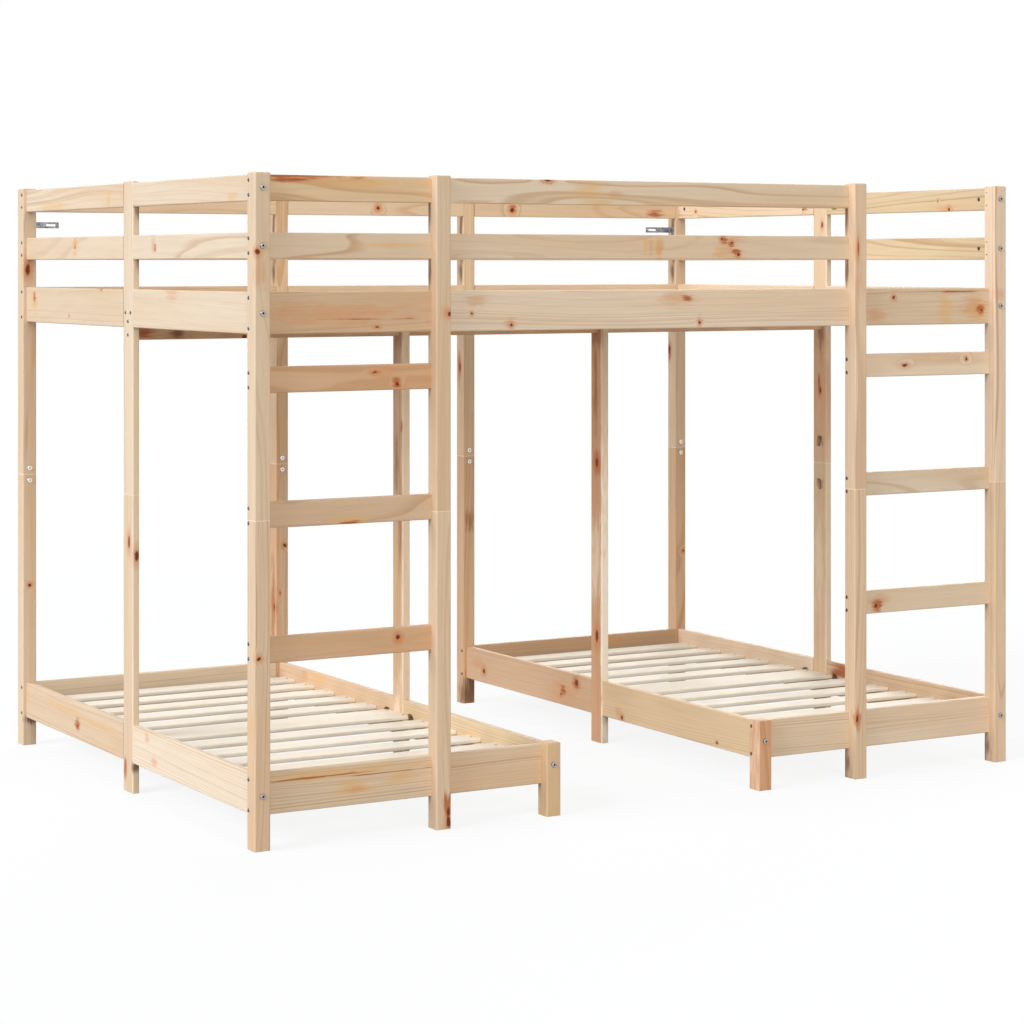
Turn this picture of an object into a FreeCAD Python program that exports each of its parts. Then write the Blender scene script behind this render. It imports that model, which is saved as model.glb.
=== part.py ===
# Triple bunk bed in pine: one wide high bunk over two low beds that stand side by side.
# X runs along the front from left to right, Y from front to back and Z up, in millimetres.
# The origin is on the floor, under the middle of the bed.
import FreeCAD, Part
import os
import re
import Sketcher

Vector = FreeCAD.Vector
document = FreeCAD.newDocument("TripleBunkBed")

drivingSizes = {
    # Outline of the whole bed
    "overallLength": "2078",
    "overallDepth": "1495",
    "postHeight": "1454",
    # Posts, planks and uprights
    "postWidth": "37",
    "postDepth": "41",
    "seamHeight": "708",
    "ladderClear": "404",
    "lowBedWidth": "763",
    "shortLegHeight": "167",
    "plankWidth": "60",
    "uprightWidth": "54",
    "uprightThick": "21",
    # Boards
    "boardThick": "17",
    "narrowBoard": "57",
    "wideBoard": "91",
    "easeRadius": "3",
    "railTopDrop": "4",
    "guardPitch": "125",
    "bunkRailBottom": "1106",
    "lowRailBottom": "72",
    "rungBottom": "397",
    "rungPitch": "291",
    # Ledges and slats
    "ledgeSize": "20",
    "ledgeSetback": "45",
    "bunkSeatRise": "44",
    "lowSeatRise": "46",
    "slatWidth": "64",
    "slatThick": "10",
    "slatPlay": "1",
    "lowSlatPitch": "121.5",
    "firstSlatReach": "150",
    "centreSlatWidth": "124",
    "bunkSlatPitch": "130",
    # Frame bolts with their barrel nuts, and the bolts across the seams of the posts
    "boltRadius": "3",
    "boltHeadRadius": "6.5",
    "boltHeadHeight": "3.5",
    "boltBevel": "1",
    "socketFlats": "5",
    "socketDepth": "2.5",
    "nutReach": "33.5",
    "boltOverrun": "4",
    "barrelRadius": "5",
    "barrelLength": "14",
    "seamBoltLength": "29",
    "seamBoltSpread": "16",
    "pinRadius": "6",
    "pinLength": "90",
    # Tie rods with nuts and washers in arched pockets
    "rodRadius": "3",
    "rodOverrun": "8",
    "rodNutFlats": "10",
    "rodNutHeight": "5",
    "washerRadius": "6",
    "washerThick": "1.2",
    "pocketWidth": "30",
    "pocketLength": "30",
    "pocketDepth": "15",
    "pocketWall": "25",
    "seamPocketWall": "45",
    # Screws
    "screwRadius": "2",
    "screwHeadRadius": "4.5",
    "screwHeadHeight": "1.5",
    "screwTip": "4",
    "screwGrip": "32",
    "narrowScrewSpread": "16",
    "wideScrewSpread": "33",
    "sunkHeadRadius": "3.8",
    "sunkHeadDepth": "2.4",
    "slatScrewLength": "24",
    "ledgeScrewLength": "30",
    "pilotDepth": "12",
    # Dowels
    "dowelRadius": "3",
    "dowelLength": "30",
    "narrowDowelSpread": "9.5",
    "wideDowelSpread": "20",
    # Wall brackets
    "bracketLeg": "77",
    "bracketReturn": "36",
    "bracketHeight": "16",
    "bracketThick": "2",
    "bracketDrop": "94.5",
    "slotLength": "28",
    "slotWidth": "6",
    "slotReach": "55",
    "bracketScrewReach": "25",
    "bracketScrewGrip": "16",
    # Room around every fastener, and how far a cutting tool runs past a face
    "fitClearance": "0.2",
    "cutOverrun": "5",
}

derivedPlaces = {
    "leftFace": "-overallLength / 2",
    "rightFace": "overallLength / 2",
    "frontFace": "-overallDepth / 2",
    "backFace": "overallDepth / 2",
    "frontInner": "frontFace + postDepth",
    "backInner": "backFace - postDepth",
    "frontRail": "frontInner - boardThick",
    "backRail": "backInner + boardThick",
    # Left faces of the posts
    "postLeft": "leftFace",
    "postLadderLeft": "leftFace + postWidth + ladderClear",
    "postInnerLeft": "leftFace + lowBedWidth - postWidth",
    "postInnerRight": "rightFace - lowBedWidth",
    "postLadderRight": "rightFace - 2 * postWidth - ladderClear",
    "postRight": "rightFace - postWidth",
    # Boards and uprights stand in the middle of the posts' width
    "boardInset": "(postWidth - boardThick) / 2",
    "uprightInset": "(postWidth - uprightThick) / 2",
    # Bottoms of the levels
    "highGuard": "postHeight - railTopDrop - narrowBoard",
    "lowGuard": "highGuard - guardPitch",
    "middleRung": "rungBottom + rungPitch",
    "topRung": "rungBottom + 2 * rungPitch",
    "bunkSeat": "bunkRailBottom + bunkSeatRise",
    "lowSeat": "lowRailBottom + lowSeatRise",
    "capBottom": "bunkSeat - boardThick",
    "webBottom": "capBottom - narrowBoard",
    "bracketCentre": "postHeight - bracketDrop",
    # The heads of the back bolts touch the wall
    "wallPlane": "backFace + boltHeadHeight",
}

# Bottom, board height, screw spread and dowel spread of each level of rails
levels = {
    "highGuard": ("highGuard", "narrowBoard", "narrowScrewSpread", "narrowDowelSpread"),
    "lowGuard": ("lowGuard", "narrowBoard", "narrowScrewSpread", "narrowDowelSpread"),
    "bunk": ("bunkRailBottom", "wideBoard", "wideScrewSpread", "wideDowelSpread"),
    "topRung": ("topRung", "narrowBoard", "narrowScrewSpread", "narrowDowelSpread"),
    "middleRung": ("middleRung", "narrowBoard", "narrowScrewSpread", "narrowDowelSpread"),
    "bottomRung": ("rungBottom", "narrowBoard", "narrowScrewSpread", "narrowDowelSpread"),
    "low": ("lowRailBottom", "wideBoard", "wideScrewSpread", "wideDowelSpread"),
}

alongX = Vector(1, 0, 0)
alongY = Vector(0, 1, 0)
alongZ = Vector(0, 0, 1)

sizesSheet = document.addObject("Spreadsheet::Sheet", "Sizes")
placesSheet = document.addObject("Spreadsheet::Sheet", "Places")


def bound(text):
    """The expression with each name led by the sheet that holds it."""
    def withSheet(match):
        word = match.group(0)
        if word in drivingSizes:
            return "Sizes." + word
        if word in derivedPlaces:
            return "Places." + word
        return word
    return re.sub(r"[A-Za-z]\w*", withSheet, text)


def number(text):
    """The value of an expression in the two sheets' names, in millimetres."""
    return float(sizesSheet.evalExpression(bound(text)))


def point(textX, textY, textZ):
    return Vector(number(textX), number(textY), number(textZ))


def fillSheets():
    for row, (name, value) in enumerate(drivingSizes.items(), start=1):
        sizesSheet.set(f"A{row}", name)
        sizesSheet.set(f"B{row}", value)
        sizesSheet.setAlias(f"B{row}", name)
    document.recompute()
    for row, (name, value) in enumerate(derivedPlaces.items(), start=1):
        placesSheet.set(f"A{row}", name)
        placesSheet.set(f"B{row}", "=" + bound(value).replace("Places.", ""))
        placesSheet.setAlias(f"B{row}", name)
    document.recompute()


fillSheets()

# Boards: each is a block with eased long edges, cut by the bores that meet it

nodeBlocks = {}
easedTops = set()


def board(node, spanX, spanY, spanZ, easedTop=False):
    """A block between three pairs of places, for the named node."""
    blocks = nodeBlocks.setdefault(node, [])
    block = document.addObject("Part::Box", f"{node}_block_{len(blocks) + 1}")
    for size, axis, (start, end) in zip(("Length", "Width", "Height"), "xyz", (spanX, spanY, spanZ)):
        block.setExpression(size, bound(f"({end}) - ({start})"))
        block.setExpression(f"Placement.Base.{axis}", bound(start))
    if easedTop:
        easedTops.add(block.Name)
    blocks.append(block)


def post(node, left, row, top=None):
    """A tall post in two halves, or a short leg up to the given top."""
    spanX = (left, f"{left} + postWidth")
    spanY = ("frontFace", "frontInner") if row == "front" else ("backInner", "backFace")
    if top:
        board(node, spanX, spanY, ("0", top), easedTop=True)
        return
    board(node + "_lower", spanX, spanY, ("0", "seamHeight"))
    board(node + "_upper", spanX, spanY, ("seamHeight", "postHeight"), easedTop=True)


def posts():
    post("post_front_left", "postLeft", "front")
    post("ladder_post_left", "postLadderLeft", "front")
    post("short_leg_left", "postInnerLeft", "front", top="shortLegHeight")
    post("short_leg_right", "postInnerRight", "front", top="shortLegHeight")
    post("ladder_post_right", "postLadderRight", "front")
    post("post_front_right", "postRight", "front")
    post("post_back_left", "postLeft", "back")
    post("back_post_inner_left", "postInnerLeft", "back")
    post("back_post_inner_right", "postInnerRight", "back")
    post("post_back_right", "postRight", "back")


def planksAndUprights():
    spanY = ("-plankWidth / 2", "plankWidth / 2")
    for node, left in (("mid_plank_left", "postLeft"), ("mid_plank_right", "postRight")):
        spanX = (f"{left} + boardInset", f"{left} + boardInset + boardThick")
        board(node + "_lower", spanX, spanY, ("0", "seamHeight"))
        board(node + "_upper", spanX, spanY, ("seamHeight", "postHeight"), easedTop=True)
    spanY = ("-uprightWidth / 2", "uprightWidth / 2")
    for node, left in (("inner_support_left", "postInnerLeft"), ("inner_support_right", "postInnerRight")):
        spanX = (f"{left} + uprightInset", f"{left} + uprightInset + uprightThick")
        board(node, spanX, spanY, ("0", "bunkSeat"))


# Rails along X: node, level, row and the pairs of posts that they join
crossRails = [
    ("front_guard_rails", "highGuard", "front", (("postLeft", "postLadderLeft"),
                                                 ("postLadderLeft", "postLadderRight"))),
    ("front_guard_rails", "lowGuard", "front", (("postLeft", "postLadderLeft"),
                                                ("postLadderLeft", "postLadderRight"))),
    ("front_bunk_rails", "bunk", "front", (("postLeft", "postLadderLeft"),
                                           ("postLadderLeft", "postLadderRight"),
                                           ("postLadderRight", "postRight"))),
    ("bed_front_rails", "low", "front", (("postLeft", "postLadderLeft"),
                                         ("postLadderLeft", "postInnerLeft"),
                                         ("postInnerRight", "postLadderRight"),
                                         ("postLadderRight", "postRight"))),
    ("back_guard_rails", "highGuard", "back", (("postLeft", "postInnerLeft"),
                                               ("postInnerLeft", "postInnerRight"),
                                               ("postInnerRight", "postRight"))),
    ("back_guard_rails", "lowGuard", "back", (("postLeft", "postInnerLeft"),
                                              ("postInnerLeft", "postInnerRight"),
                                              ("postInnerRight", "postRight"))),
    ("back_bunk_rails", "bunk", "back", (("postLeft", "postInnerLeft"),
                                         ("postInnerLeft", "postInnerRight"),
                                         ("postInnerRight", "postRight"))),
    ("bed_back_rails", "low", "back", (("postLeft", "postInnerLeft"),
                                       ("postInnerRight", "postRight"))),
]
for rung in ("bottomRung", "middleRung", "topRung"):
    crossRails.append(("ladder_rungs_left", rung, "front", (("postLeft", "postLadderLeft"),)))
    crossRails.append(("ladder_rungs_right", rung, "front", (("postLadderRight", "postRight"),)))

# Rails along Y, each in two halves: node, level, post in line, the side that faces the mattress,
# and the width of the plank or upright between the halves
sideRails = [
    ("left_bed_outer_rails", "low", "postLeft", 1, "plankWidth"),
    ("left_bed_inner_rails", "low", "postInnerLeft", -1, "uprightWidth"),
    ("right_bed_inner_rails", "low", "postInnerRight", 1, "uprightWidth"),
    ("right_bed_outer_rails", "low", "postRight", -1, "plankWidth"),
]
for left, side in (("postLeft", 1), ("postRight", -1)):
    sideRails.append(("end_bunk_rails", "bunk", left, side, "plankWidth"))
    sideRails.append(("end_guard_rails", "highGuard", left, side, "plankWidth"))
    sideRails.append(("end_guard_rails", "lowGuard", left, side, "plankWidth"))


def rails():
    for node, level, row, pairs in crossRails:
        bottom, height = levels[level][:2]
        spanY = ("frontRail", "frontInner") if row == "front" else ("backInner", "backRail")
        for start, end in pairs:
            board(node, (f"{start} + postWidth", end), spanY, (bottom, f"{bottom} + {height}"))
    for node, level, left, side, middle in sideRails:
        bottom, height = levels[level][:2]
        spanX = (f"{left} + boardInset", f"{left} + boardInset + boardThick")
        spanZ = (bottom, f"{bottom} + {height}")
        board(node, spanX, ("frontInner", f"-{middle} / 2"), spanZ)
        board(node, spanX, (f"{middle} / 2", "backInner"), spanZ)


# The beam runs in three pieces: left and right end of each
beamSpans = (
    ("postLeft + boardInset + boardThick", "postInnerLeft + uprightInset"),
    ("postInnerLeft + uprightInset + uprightThick", "postInnerRight + uprightInset"),
    ("postInnerRight + uprightInset + uprightThick", "postRight + boardInset"),
)


def beam():
    for start, end in beamSpans:
        board("beam_webs", (start, end), ("-boardThick / 2", "boardThick / 2"), ("webBottom", "capBottom"))
        board("beam_caps", (start, end), ("-plankWidth / 2", "plankWidth / 2"), ("capBottom", "bunkSeat"))


# Inner faces of each low bed's side rails, from left to right
lowBeds = {
    "left": ("postLeft + boardInset + boardThick", "postInnerLeft + boardInset"),
    "right": ("postInnerRight + boardInset + boardThick", "postRight + boardInset"),
}
# Faces of the plank and the upright at the middle of each low bed
lowBedMiddles = {
    "left": ("postLeft + boardInset + boardThick", "postInnerLeft + uprightInset"),
    "right": ("postInnerRight + uprightInset + uprightThick", "postRight + boardInset"),
}
lowBedHalfMiddles = {
    "left": ("plankWidth / 2", "uprightWidth / 2"),
    "right": ("uprightWidth / 2", "plankWidth / 2"),
}


def slatCount(room, pitch):
    """How many slats fit in the room past the first one."""
    return int(number(room) / number(pitch)) + 1


def ledges():
    spanZ = ("lowSeat - ledgeSize", "lowSeat")
    for bed, (left, right) in lowBeds.items():
        halfLeft, halfRight = lowBedHalfMiddles[bed]
        spans = ((halfLeft, (left, f"{left} + ledgeSize")), (halfRight, (f"{right} - ledgeSize", right)))
        for half, spanX in spans:
            board("bed_ledges", spanX, ("frontInner + ledgeSetback", f"-{half}"), spanZ)
            board("bed_ledges", spanX, (half, "backInner - ledgeSetback"), spanZ)
    spanZ = ("bunkSeat - ledgeSize", "bunkSeat")
    for node, level, row, pairs in crossRails:
        if level != "bunk":
            continue
        if row == "front":
            spanY = ("frontInner", "frontInner + ledgeSize")
        else:
            spanY = ("backInner - ledgeSize", "backInner")
        for start, end in pairs:
            board("bunk_ledges", (f"{start} + postWidth", end), spanY, spanZ)


# Middle of each slat: along X for the bunk, along Y for the low beds
bunkSlatRoom = "rightFace - postWidth - slatWidth / 2"
bunkSlatReach = slatCount(bunkSlatRoom, "bunkSlatPitch") - 1
bunkSlatPlaces = [f"{index} * bunkSlatPitch" for index in range(-bunkSlatReach, bunkSlatReach + 1)]
lowSlatRoom = "backInner - firstSlatReach - slatWidth / 2"
lowSlatPlaces = []
for index in range(slatCount(lowSlatRoom, "lowSlatPitch")):
    for sign in ("-", ""):
        lowSlatPlaces.append(f"{sign}(firstSlatReach + {index} * lowSlatPitch)")


def slats():
    spanZ = ("bunkSeat", "bunkSeat + slatThick")
    for middle in bunkSlatPlaces:
        spanX = (f"{middle} - slatWidth / 2", f"{middle} + slatWidth / 2")
        board("bunk_slats", spanX, ("frontInner + slatPlay", "backInner - slatPlay"), spanZ)
    spanZ = ("lowSeat", "lowSeat + slatThick")
    for bed, (left, right) in lowBeds.items():
        for middle in lowSlatPlaces:
            spanY = (f"{middle} - slatWidth / 2", f"{middle} + slatWidth / 2")
            board(bed + "_bed_slats", (f"{left} + slatPlay", f"{right} - slatPlay"), spanY, spanZ)
    for bed, (left, right) in lowBedMiddles.items():
        spanY = ("-centreSlatWidth / 2", "centreSlatWidth / 2")
        board("centre_slats", (f"{left} + slatPlay", f"{right} - slatPlay"), spanY, spanZ)


# Fasteners: one body for each kind, with its own Z along the way it is driven


def newBody(name):
    return document.addObject("PartDesign::Body", name)


def newSketch(body, name, role, lift="0"):
    """A sketch on one of the body's own origin planes, lifted along the plane's normal."""
    plane = next(item for item in body.Origin.OriginFeatures if item.Role == role)
    sketch = body.newObject("Sketcher::SketchObject", name)
    sketch.AttachmentSupport = (plane, "")
    sketch.MapMode = "FlatFace"
    sketch.setExpression("AttachmentOffset.Base.z", bound(lift))
    return sketch


def boundConstraint(sketch, kind, *where, value):
    index = sketch.addConstraint(Sketcher.Constraint(kind, *where, number(value)))
    sketch.setExpression(f"Constraints[{index}]", bound(value))


def closedOutline(sketch, points):
    """Straight edges through the points, each point tied to the sheets."""
    corners = [Vector(number(across), number(along), 0) for across, along in points]
    count = len(corners)
    for index in range(count):
        sketch.addGeometry(Part.LineSegment(corners[index], corners[(index + 1) % count]), False)
    for index in range(count):
        sketch.addConstraint(Sketcher.Constraint("Coincident", index, 2, (index + 1) % count, 1))
    for index, (across, along) in enumerate(points):
        boundConstraint(sketch, "DistanceX", -1, 1, index, 1, value=across)
        boundConstraint(sketch, "DistanceY", -1, 1, index, 1, value=along)


def boundCircle(sketch, across, along, radius):
    centre = Vector(number(across), number(along), 0)
    index = sketch.addGeometry(Part.Circle(centre, alongZ, number(radius)), False)
    boundConstraint(sketch, "Radius", index, value=radius)
    boundConstraint(sketch, "DistanceX", -1, 1, index, 3, value=across)
    boundConstraint(sketch, "DistanceY", -1, 1, index, 3, value=along)


def hexagon(sketch, flats):
    """Six edges with the given distance between opposite ones."""
    corner = f"{flats} / sqrt(3)"
    half = f"{flats} / 2"
    closedOutline(sketch, [
        (corner, "0"),
        (f"{corner} / 2", half),
        (f"-{corner} / 2", half),
        (f"-{corner}", "0"),
        (f"-{corner} / 2", f"-{half}"),
        (f"{corner} / 2", f"-{half}"),
    ])


def turned(name, points):
    """A body turned about its Z axis from points given as radius and height."""
    body = newBody(name)
    sketch = newSketch(body, name + "Outline", "XZ_Plane")
    closedOutline(sketch, points)
    turn = body.newObject("PartDesign::Revolution", name + "Turn")
    turn.Profile = sketch
    turn.ReferenceAxis = (sketch, ["V_Axis"])
    turn.Angle = 360
    sketch.Visibility = False
    return body


def padded(body, sketch, length, midplane=False):
    pad = body.newObject("PartDesign::Pad", sketch.Name + "Pad")
    pad.Profile = sketch
    pad.setExpression("Length", bound(length))
    pad.Midplane = midplane
    return pad


def pocketed(body, sketch, length=None, reverse=False):
    """A cut of the given depth, or right through both ways without one."""
    pocket = body.newObject("PartDesign::Pocket", sketch.Name + "Cut")
    pocket.Profile = sketch
    pocket.Reversed = reverse
    if length:
        pocket.setExpression("Length", bound(length))
    else:
        pocket.Type = "ThroughAll"
        pocket.Midplane = True
    return pocket


def socketBolt(name, length):
    """A bolt with a bevelled round head that stands on its face, and a hexagonal socket."""
    body = turned(name, [
        ("0", "-boltHeadHeight"),
        ("boltHeadRadius - boltBevel", "-boltHeadHeight"),
        ("boltHeadRadius", "boltBevel - boltHeadHeight"),
        ("boltHeadRadius", "0"),
        ("boltRadius", "0"),
        ("boltRadius", f"{length} - boltBevel"),
        ("boltRadius - boltBevel", length),
        ("0", length),
    ])
    sketch = newSketch(body, name + "Socket", "XY_Plane", lift="-boltHeadHeight")
    hexagon(sketch, "socketFlats")
    pocketed(body, sketch, "socketDepth", reverse=True)
    return body


def proudScrew(name, length):
    """A screw with a low head on its face and a pointed tip."""
    return turned(name, [
        ("0", "-screwHeadHeight"),
        ("screwHeadRadius - screwHeadHeight", "-screwHeadHeight"),
        ("screwHeadRadius", "0"),
        ("screwRadius", "0"),
        ("screwRadius", f"{length} - screwTip"),
        ("0", length),
    ])


def sunkScrew(name, length):
    """A screw whose cone head lies flush with its face."""
    return turned(name, [
        ("0", "0"),
        ("sunkHeadRadius", "0"),
        ("screwRadius", "sunkHeadDepth"),
        ("screwRadius", f"{length} - screwTip"),
        ("0", length),
    ])


def doubleScrew(name, length):
    """A rod with a point at both ends, about the middle of its length."""
    return turned(name, [
        ("0", f"-{length} / 2"),
        ("screwRadius", f"screwTip - {length} / 2"),
        ("screwRadius", f"{length} / 2 - screwTip"),
        ("0", f"{length} / 2"),
    ])


def roundRod(name, radius, length):
    """A plain rod about the middle of its length."""
    body = newBody(name)
    sketch = newSketch(body, name + "Circle", "XY_Plane")
    boundCircle(sketch, "0", "0", radius)
    padded(body, sketch, length, midplane=True)
    return body


def barrelNut():
    """A short cylinder flush with the board, with a bore across it in line with the frame bolt."""
    body = roundRod("BarrelNut", "barrelRadius", "barrelLength")
    sketch = newSketch(body, "BarrelNutBore", "XZ_Plane")
    boundCircle(sketch, "0", "(boardThick - barrelLength) / 2", "boltRadius + fitClearance")
    pocketed(body, sketch)
    return body


def joiningPin():
    """A steel pin with two bores across it for the bolts of a post's seam."""
    body = roundRod("JoiningPin", "pinRadius", "pinLength")
    sketch = newSketch(body, "JoiningPinBores", "XZ_Plane")
    boundCircle(sketch, "0", "seamBoltSpread", "boltRadius + fitClearance")
    boundCircle(sketch, "0", "-seamBoltSpread", "boltRadius + fitClearance")
    pocketed(body, sketch)
    return body


def rodNut():
    body = newBody("RodNut")
    sketch = newSketch(body, "RodNutHexagon", "XY_Plane", lift="washerThick")
    hexagon(sketch, "rodNutFlats")
    boundCircle(sketch, "0", "0", "rodRadius + fitClearance")
    padded(body, sketch, "rodNutHeight")
    return body


def rodWasher():
    body = newBody("RodWasher")
    sketch = newSketch(body, "RodWasherRing", "XY_Plane")
    boundCircle(sketch, "0", "0", "washerRadius")
    boundCircle(sketch, "0", "0", "rodRadius + fitClearance")
    padded(body, sketch, "washerThick")
    return body


def wallBracket():
    """An angle of sheet: a slotted leg along the wall, and a leg along the post's side."""
    body = newBody("WallBracket")
    sketch = newSketch(body, "BracketAngle", "XY_Plane")
    closedOutline(sketch, [("0", "0"), ("bracketLeg", "0"), ("bracketLeg", "-bracketThick"),
                           ("bracketThick", "-bracketThick"), ("bracketThick", "-bracketReturn"),
                           ("0", "-bracketReturn")])
    padded(body, sketch, "bracketHeight", midplane=True)
    slot = newSketch(body, "BracketSlot", "XZ_Plane")
    half = "(slotLength - slotWidth) / 2"
    closedOutline(slot, [
        (f"slotReach - {half}", "-slotWidth / 2"),
        (f"slotReach + {half}", "-slotWidth / 2"),
        (f"slotReach + {half}", "slotWidth / 2"),
        (f"slotReach - {half}", "slotWidth / 2"),
    ])
    pocketed(body, slot)
    for side in ("-", "+"):
        end = newSketch(body, "BracketSlotEnd", "XZ_Plane")
        boundCircle(end, f"slotReach {side} {half}", "0", "slotWidth / 2")
        pocketed(body, end)
    hole = newSketch(body, "BracketHole", "YZ_Plane")
    boundCircle(hole, "-bracketScrewReach", "0", "screwRadius + fitClearance")
    pocketed(body, hole)
    return body


frameBoltLength = "postDepth + nutReach + boltOverrun"
postScrewLength = "postWidth + screwGrip"
beamScrewLength = "boardThick + screwGrip"
postDoubleLength = "postWidth + 2 * screwGrip"
uprightDoubleLength = "uprightThick + 2 * screwGrip"
sideTieLength = "plankWidth + 2 * pocketWall + 2 * rodOverrun"
innerTieLength = "uprightWidth + 2 * pocketWall + 2 * rodOverrun"
seamTieLength = "2 * seamPocketWall + 2 * rodOverrun"

masters = {
    "frameBolt": socketBolt("FrameBolt", frameBoltLength),
    "seamBolt": socketBolt("SeamBolt", "seamBoltLength"),
    "postScrew": proudScrew("PostScrew", postScrewLength),
    "beamScrew": proudScrew("BeamScrew", beamScrewLength),
    "bracketScrew": proudScrew("BracketScrew", "bracketScrewGrip + bracketThick"),
    "slatScrew": sunkScrew("SlatScrew", "slatScrewLength"),
    "ledgeScrew": sunkScrew("LedgeScrew", "ledgeScrewLength"),
    "postDouble": doubleScrew("PostDoubleScrew", f"({postDoubleLength})"),
    "uprightDouble": doubleScrew("UprightDoubleScrew", f"({uprightDoubleLength})"),
    "sideTie": roundRod("SideTieRod", "rodRadius", sideTieLength),
    "innerTie": roundRod("InnerTieRod", "rodRadius", innerTieLength),
    "seamTie": roundRod("SeamTieRod", "rodRadius", seamTieLength),
    "dowel": roundRod("Dowel", "dowelRadius", "dowelLength"),
    "barrelNut": barrelNut(),
    "joiningPin": joiningPin(),
    "rodNut": rodNut(),
    "rodWasher": rodWasher(),
    "wallBracket": wallBracket(),
}
document.recompute()

nodeFasteners = {}
bores = []
clearance = number("fitClearance")
overrun = number("cutOverrun")


def place(node, master, at, turn):
    """A copy of a master at a place, turned as given, for the named node."""
    shape = masters[master].Shape.copy()
    shape.Placement = FreeCAD.Placement(at, turn)
    nodeFasteners.setdefault(node, []).append(shape)


def drive(node, master, at, way):
    place(node, master, at, FreeCAD.Rotation(alongZ, way))


def bore(at, way, length, radius):
    """A round bore from a face, with room around what goes into it."""
    bores.append(Part.makeCylinder(number(radius) + clearance, number(length) + clearance, at, way))


def midBore(at, way, length, radius):
    """A round bore about its middle, with room around what goes into it."""
    full = number(length) + 2 * clearance
    bores.append(Part.makeCylinder(number(radius) + clearance, full, at - way * (full / 2), way))


def sunkBore(at, way, length):
    """The bore of a flush screw, with room for its cone head."""
    bore(at, way, length, "screwRadius")
    cone = Part.makeCone(number("sunkHeadRadius") + clearance, number("screwRadius") + clearance,
                         number("sunkHeadDepth"), at, way)
    bores.append(cone)


def archPocket(at, away, inward):
    """A pocket with one flat side, which bears the washer, and a half round far side."""
    half = number("pocketWidth") / 2
    straight = number("pocketLength") - half
    depth = number("pocketDepth")
    across = inward.cross(away)
    block = Part.makeBox(straight, 2 * half, depth + overrun, Vector(0, -half, -overrun))
    end = Part.makeCylinder(half, depth + overrun, Vector(straight, 0, -overrun), alongZ)
    pocket = block.fuse(end).removeSplitter()
    pocket.Placement = FreeCAD.Placement(at, FreeCAD.Rotation(away, across, inward, "ZXY"))
    bores.append(pocket)


def levelCentre(level):
    bottom, height = levels[level][:2]
    return f"{bottom} + {height} / 2"


def crossRailScrews():
    """Two screws at each end of each rail along X: through the post, or from rail to rail inside it."""
    for node, level, row, pairs in crossRails:
        y = "frontInner - boardThick / 2" if row == "front" else "backInner + boardThick / 2"
        starts = {start for start, end in pairs}
        ends = {end for start, end in pairs}
        for left in sorted(starts | ends):
            for sign in ("-", "+"):
                z = f"{levelCentre(level)} {sign} {levels[level][2]}"
                if left in starts and left in ends:
                    at = point(f"{left} + postWidth / 2", y, z)
                    drive("double_screws", "postDouble", at, alongX)
                    midBore(at, alongX, postDoubleLength, "screwRadius")
                elif left in starts:
                    at = point(left, y, z)
                    drive("rail_screws", "postScrew", at, alongX)
                    bore(at, alongX, postScrewLength, "screwRadius")
                else:
                    at = point(f"{left} + postWidth", y, z)
                    drive("rail_screws", "postScrew", at, -alongX)
                    bore(at, -alongX, postScrewLength, "screwRadius")


def tie(at, way, inward, wall, master):
    """A threaded rod with a washer and a nut in an arched pocket at both ends."""
    drive("tie_rods", master, at, way)
    midBore(at, way, f"2 * ({wall})", "rodRadius")
    for side in (way, -way):
        flat = at + side * number(wall)
        drive("tie_rod_nuts", "rodWasher", flat, side)
        drive("tie_rod_nuts", "rodNut", flat, side)
        archPocket(flat - inward * number("boardThick / 2"), side, inward)


def sideRailJoints():
    """Bolts and dowels at both ends of each pair of rails along Y, and a tie rod at their middle."""
    for node, level, left, side, middle in sideRails:
        x = f"{left} + postWidth / 2"
        z = levelCentre(level)
        spread = levels[level][3]
        inward = alongX * -side
        for face, inner, way in (("frontFace", "frontInner", alongY), ("backFace", "backInner", -alongY)):
            at = point(x, face, z)
            drive("frame_bolts", "frameBolt", at, way)
            bore(at, way, frameBoltLength, "boltRadius")
            nut = point(x, inner, z) + way * number("nutReach")
            place("barrel_nuts", "barrelNut", nut - inward * number("(boardThick - barrelLength) / 2"),
                  FreeCAD.Rotation(inward.cross(way), way, inward, "ZXY"))
            mouth = nut - inward * number("boardThick / 2")
            bore(mouth, inward, "barrelLength", "barrelRadius")
            for sign in ("-", "+"):
                at = point(x, inner, f"{z} {sign} {spread}")
                drive("dowels", "dowel", at, way)
                midBore(at, way, "dowelLength", "dowelRadius")
        master = "sideTie" if middle == "plankWidth" else "innerTie"
        tie(point(x, "0", z), alongY, inward, f"{middle} / 2 + pocketWall", master)
        for face in (f"-{middle} / 2", f"{middle} / 2"):
            for sign in ("-", "+"):
                at = point(x, face, f"{z} {sign} {spread}")
                drive("dowels", "dowel", at, alongY)
                midBore(at, alongY, "dowelLength", "dowelRadius")


def seams():
    """A pin with two bolts in each tall post's seam, and a tie rod in each plank's."""
    front = ("postLeft", "postLadderLeft", "postLadderRight", "postRight")
    back = ("postLeft", "postInnerLeft", "postInnerRight", "postRight")
    rows = (("frontInner", "frontInner - postDepth / 2", -alongY, front),
            ("backInner", "backInner + postDepth / 2", alongY, back))
    for face, centre, way, lefts in rows:
        for left in lefts:
            x = f"{left} + postWidth / 2"
            place("joining_pins", "joiningPin", point(x, centre, "seamHeight"), FreeCAD.Rotation())
            midBore(point(x, centre, "seamHeight"), alongZ, "pinLength", "pinRadius")
            for sign in ("-", "+"):
                at = point(x, face, f"seamHeight {sign} seamBoltSpread")
                drive("seam_bolts", "seamBolt", at, way)
                bore(at, way, "seamBoltLength", "boltRadius")
    for left, side in (("postLeft", 1), ("postRight", -1)):
        at = point(f"{left} + postWidth / 2", "0", "seamHeight")
        tie(at, alongZ, alongX * -side, "seamPocketWall", "seamTie")


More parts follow.
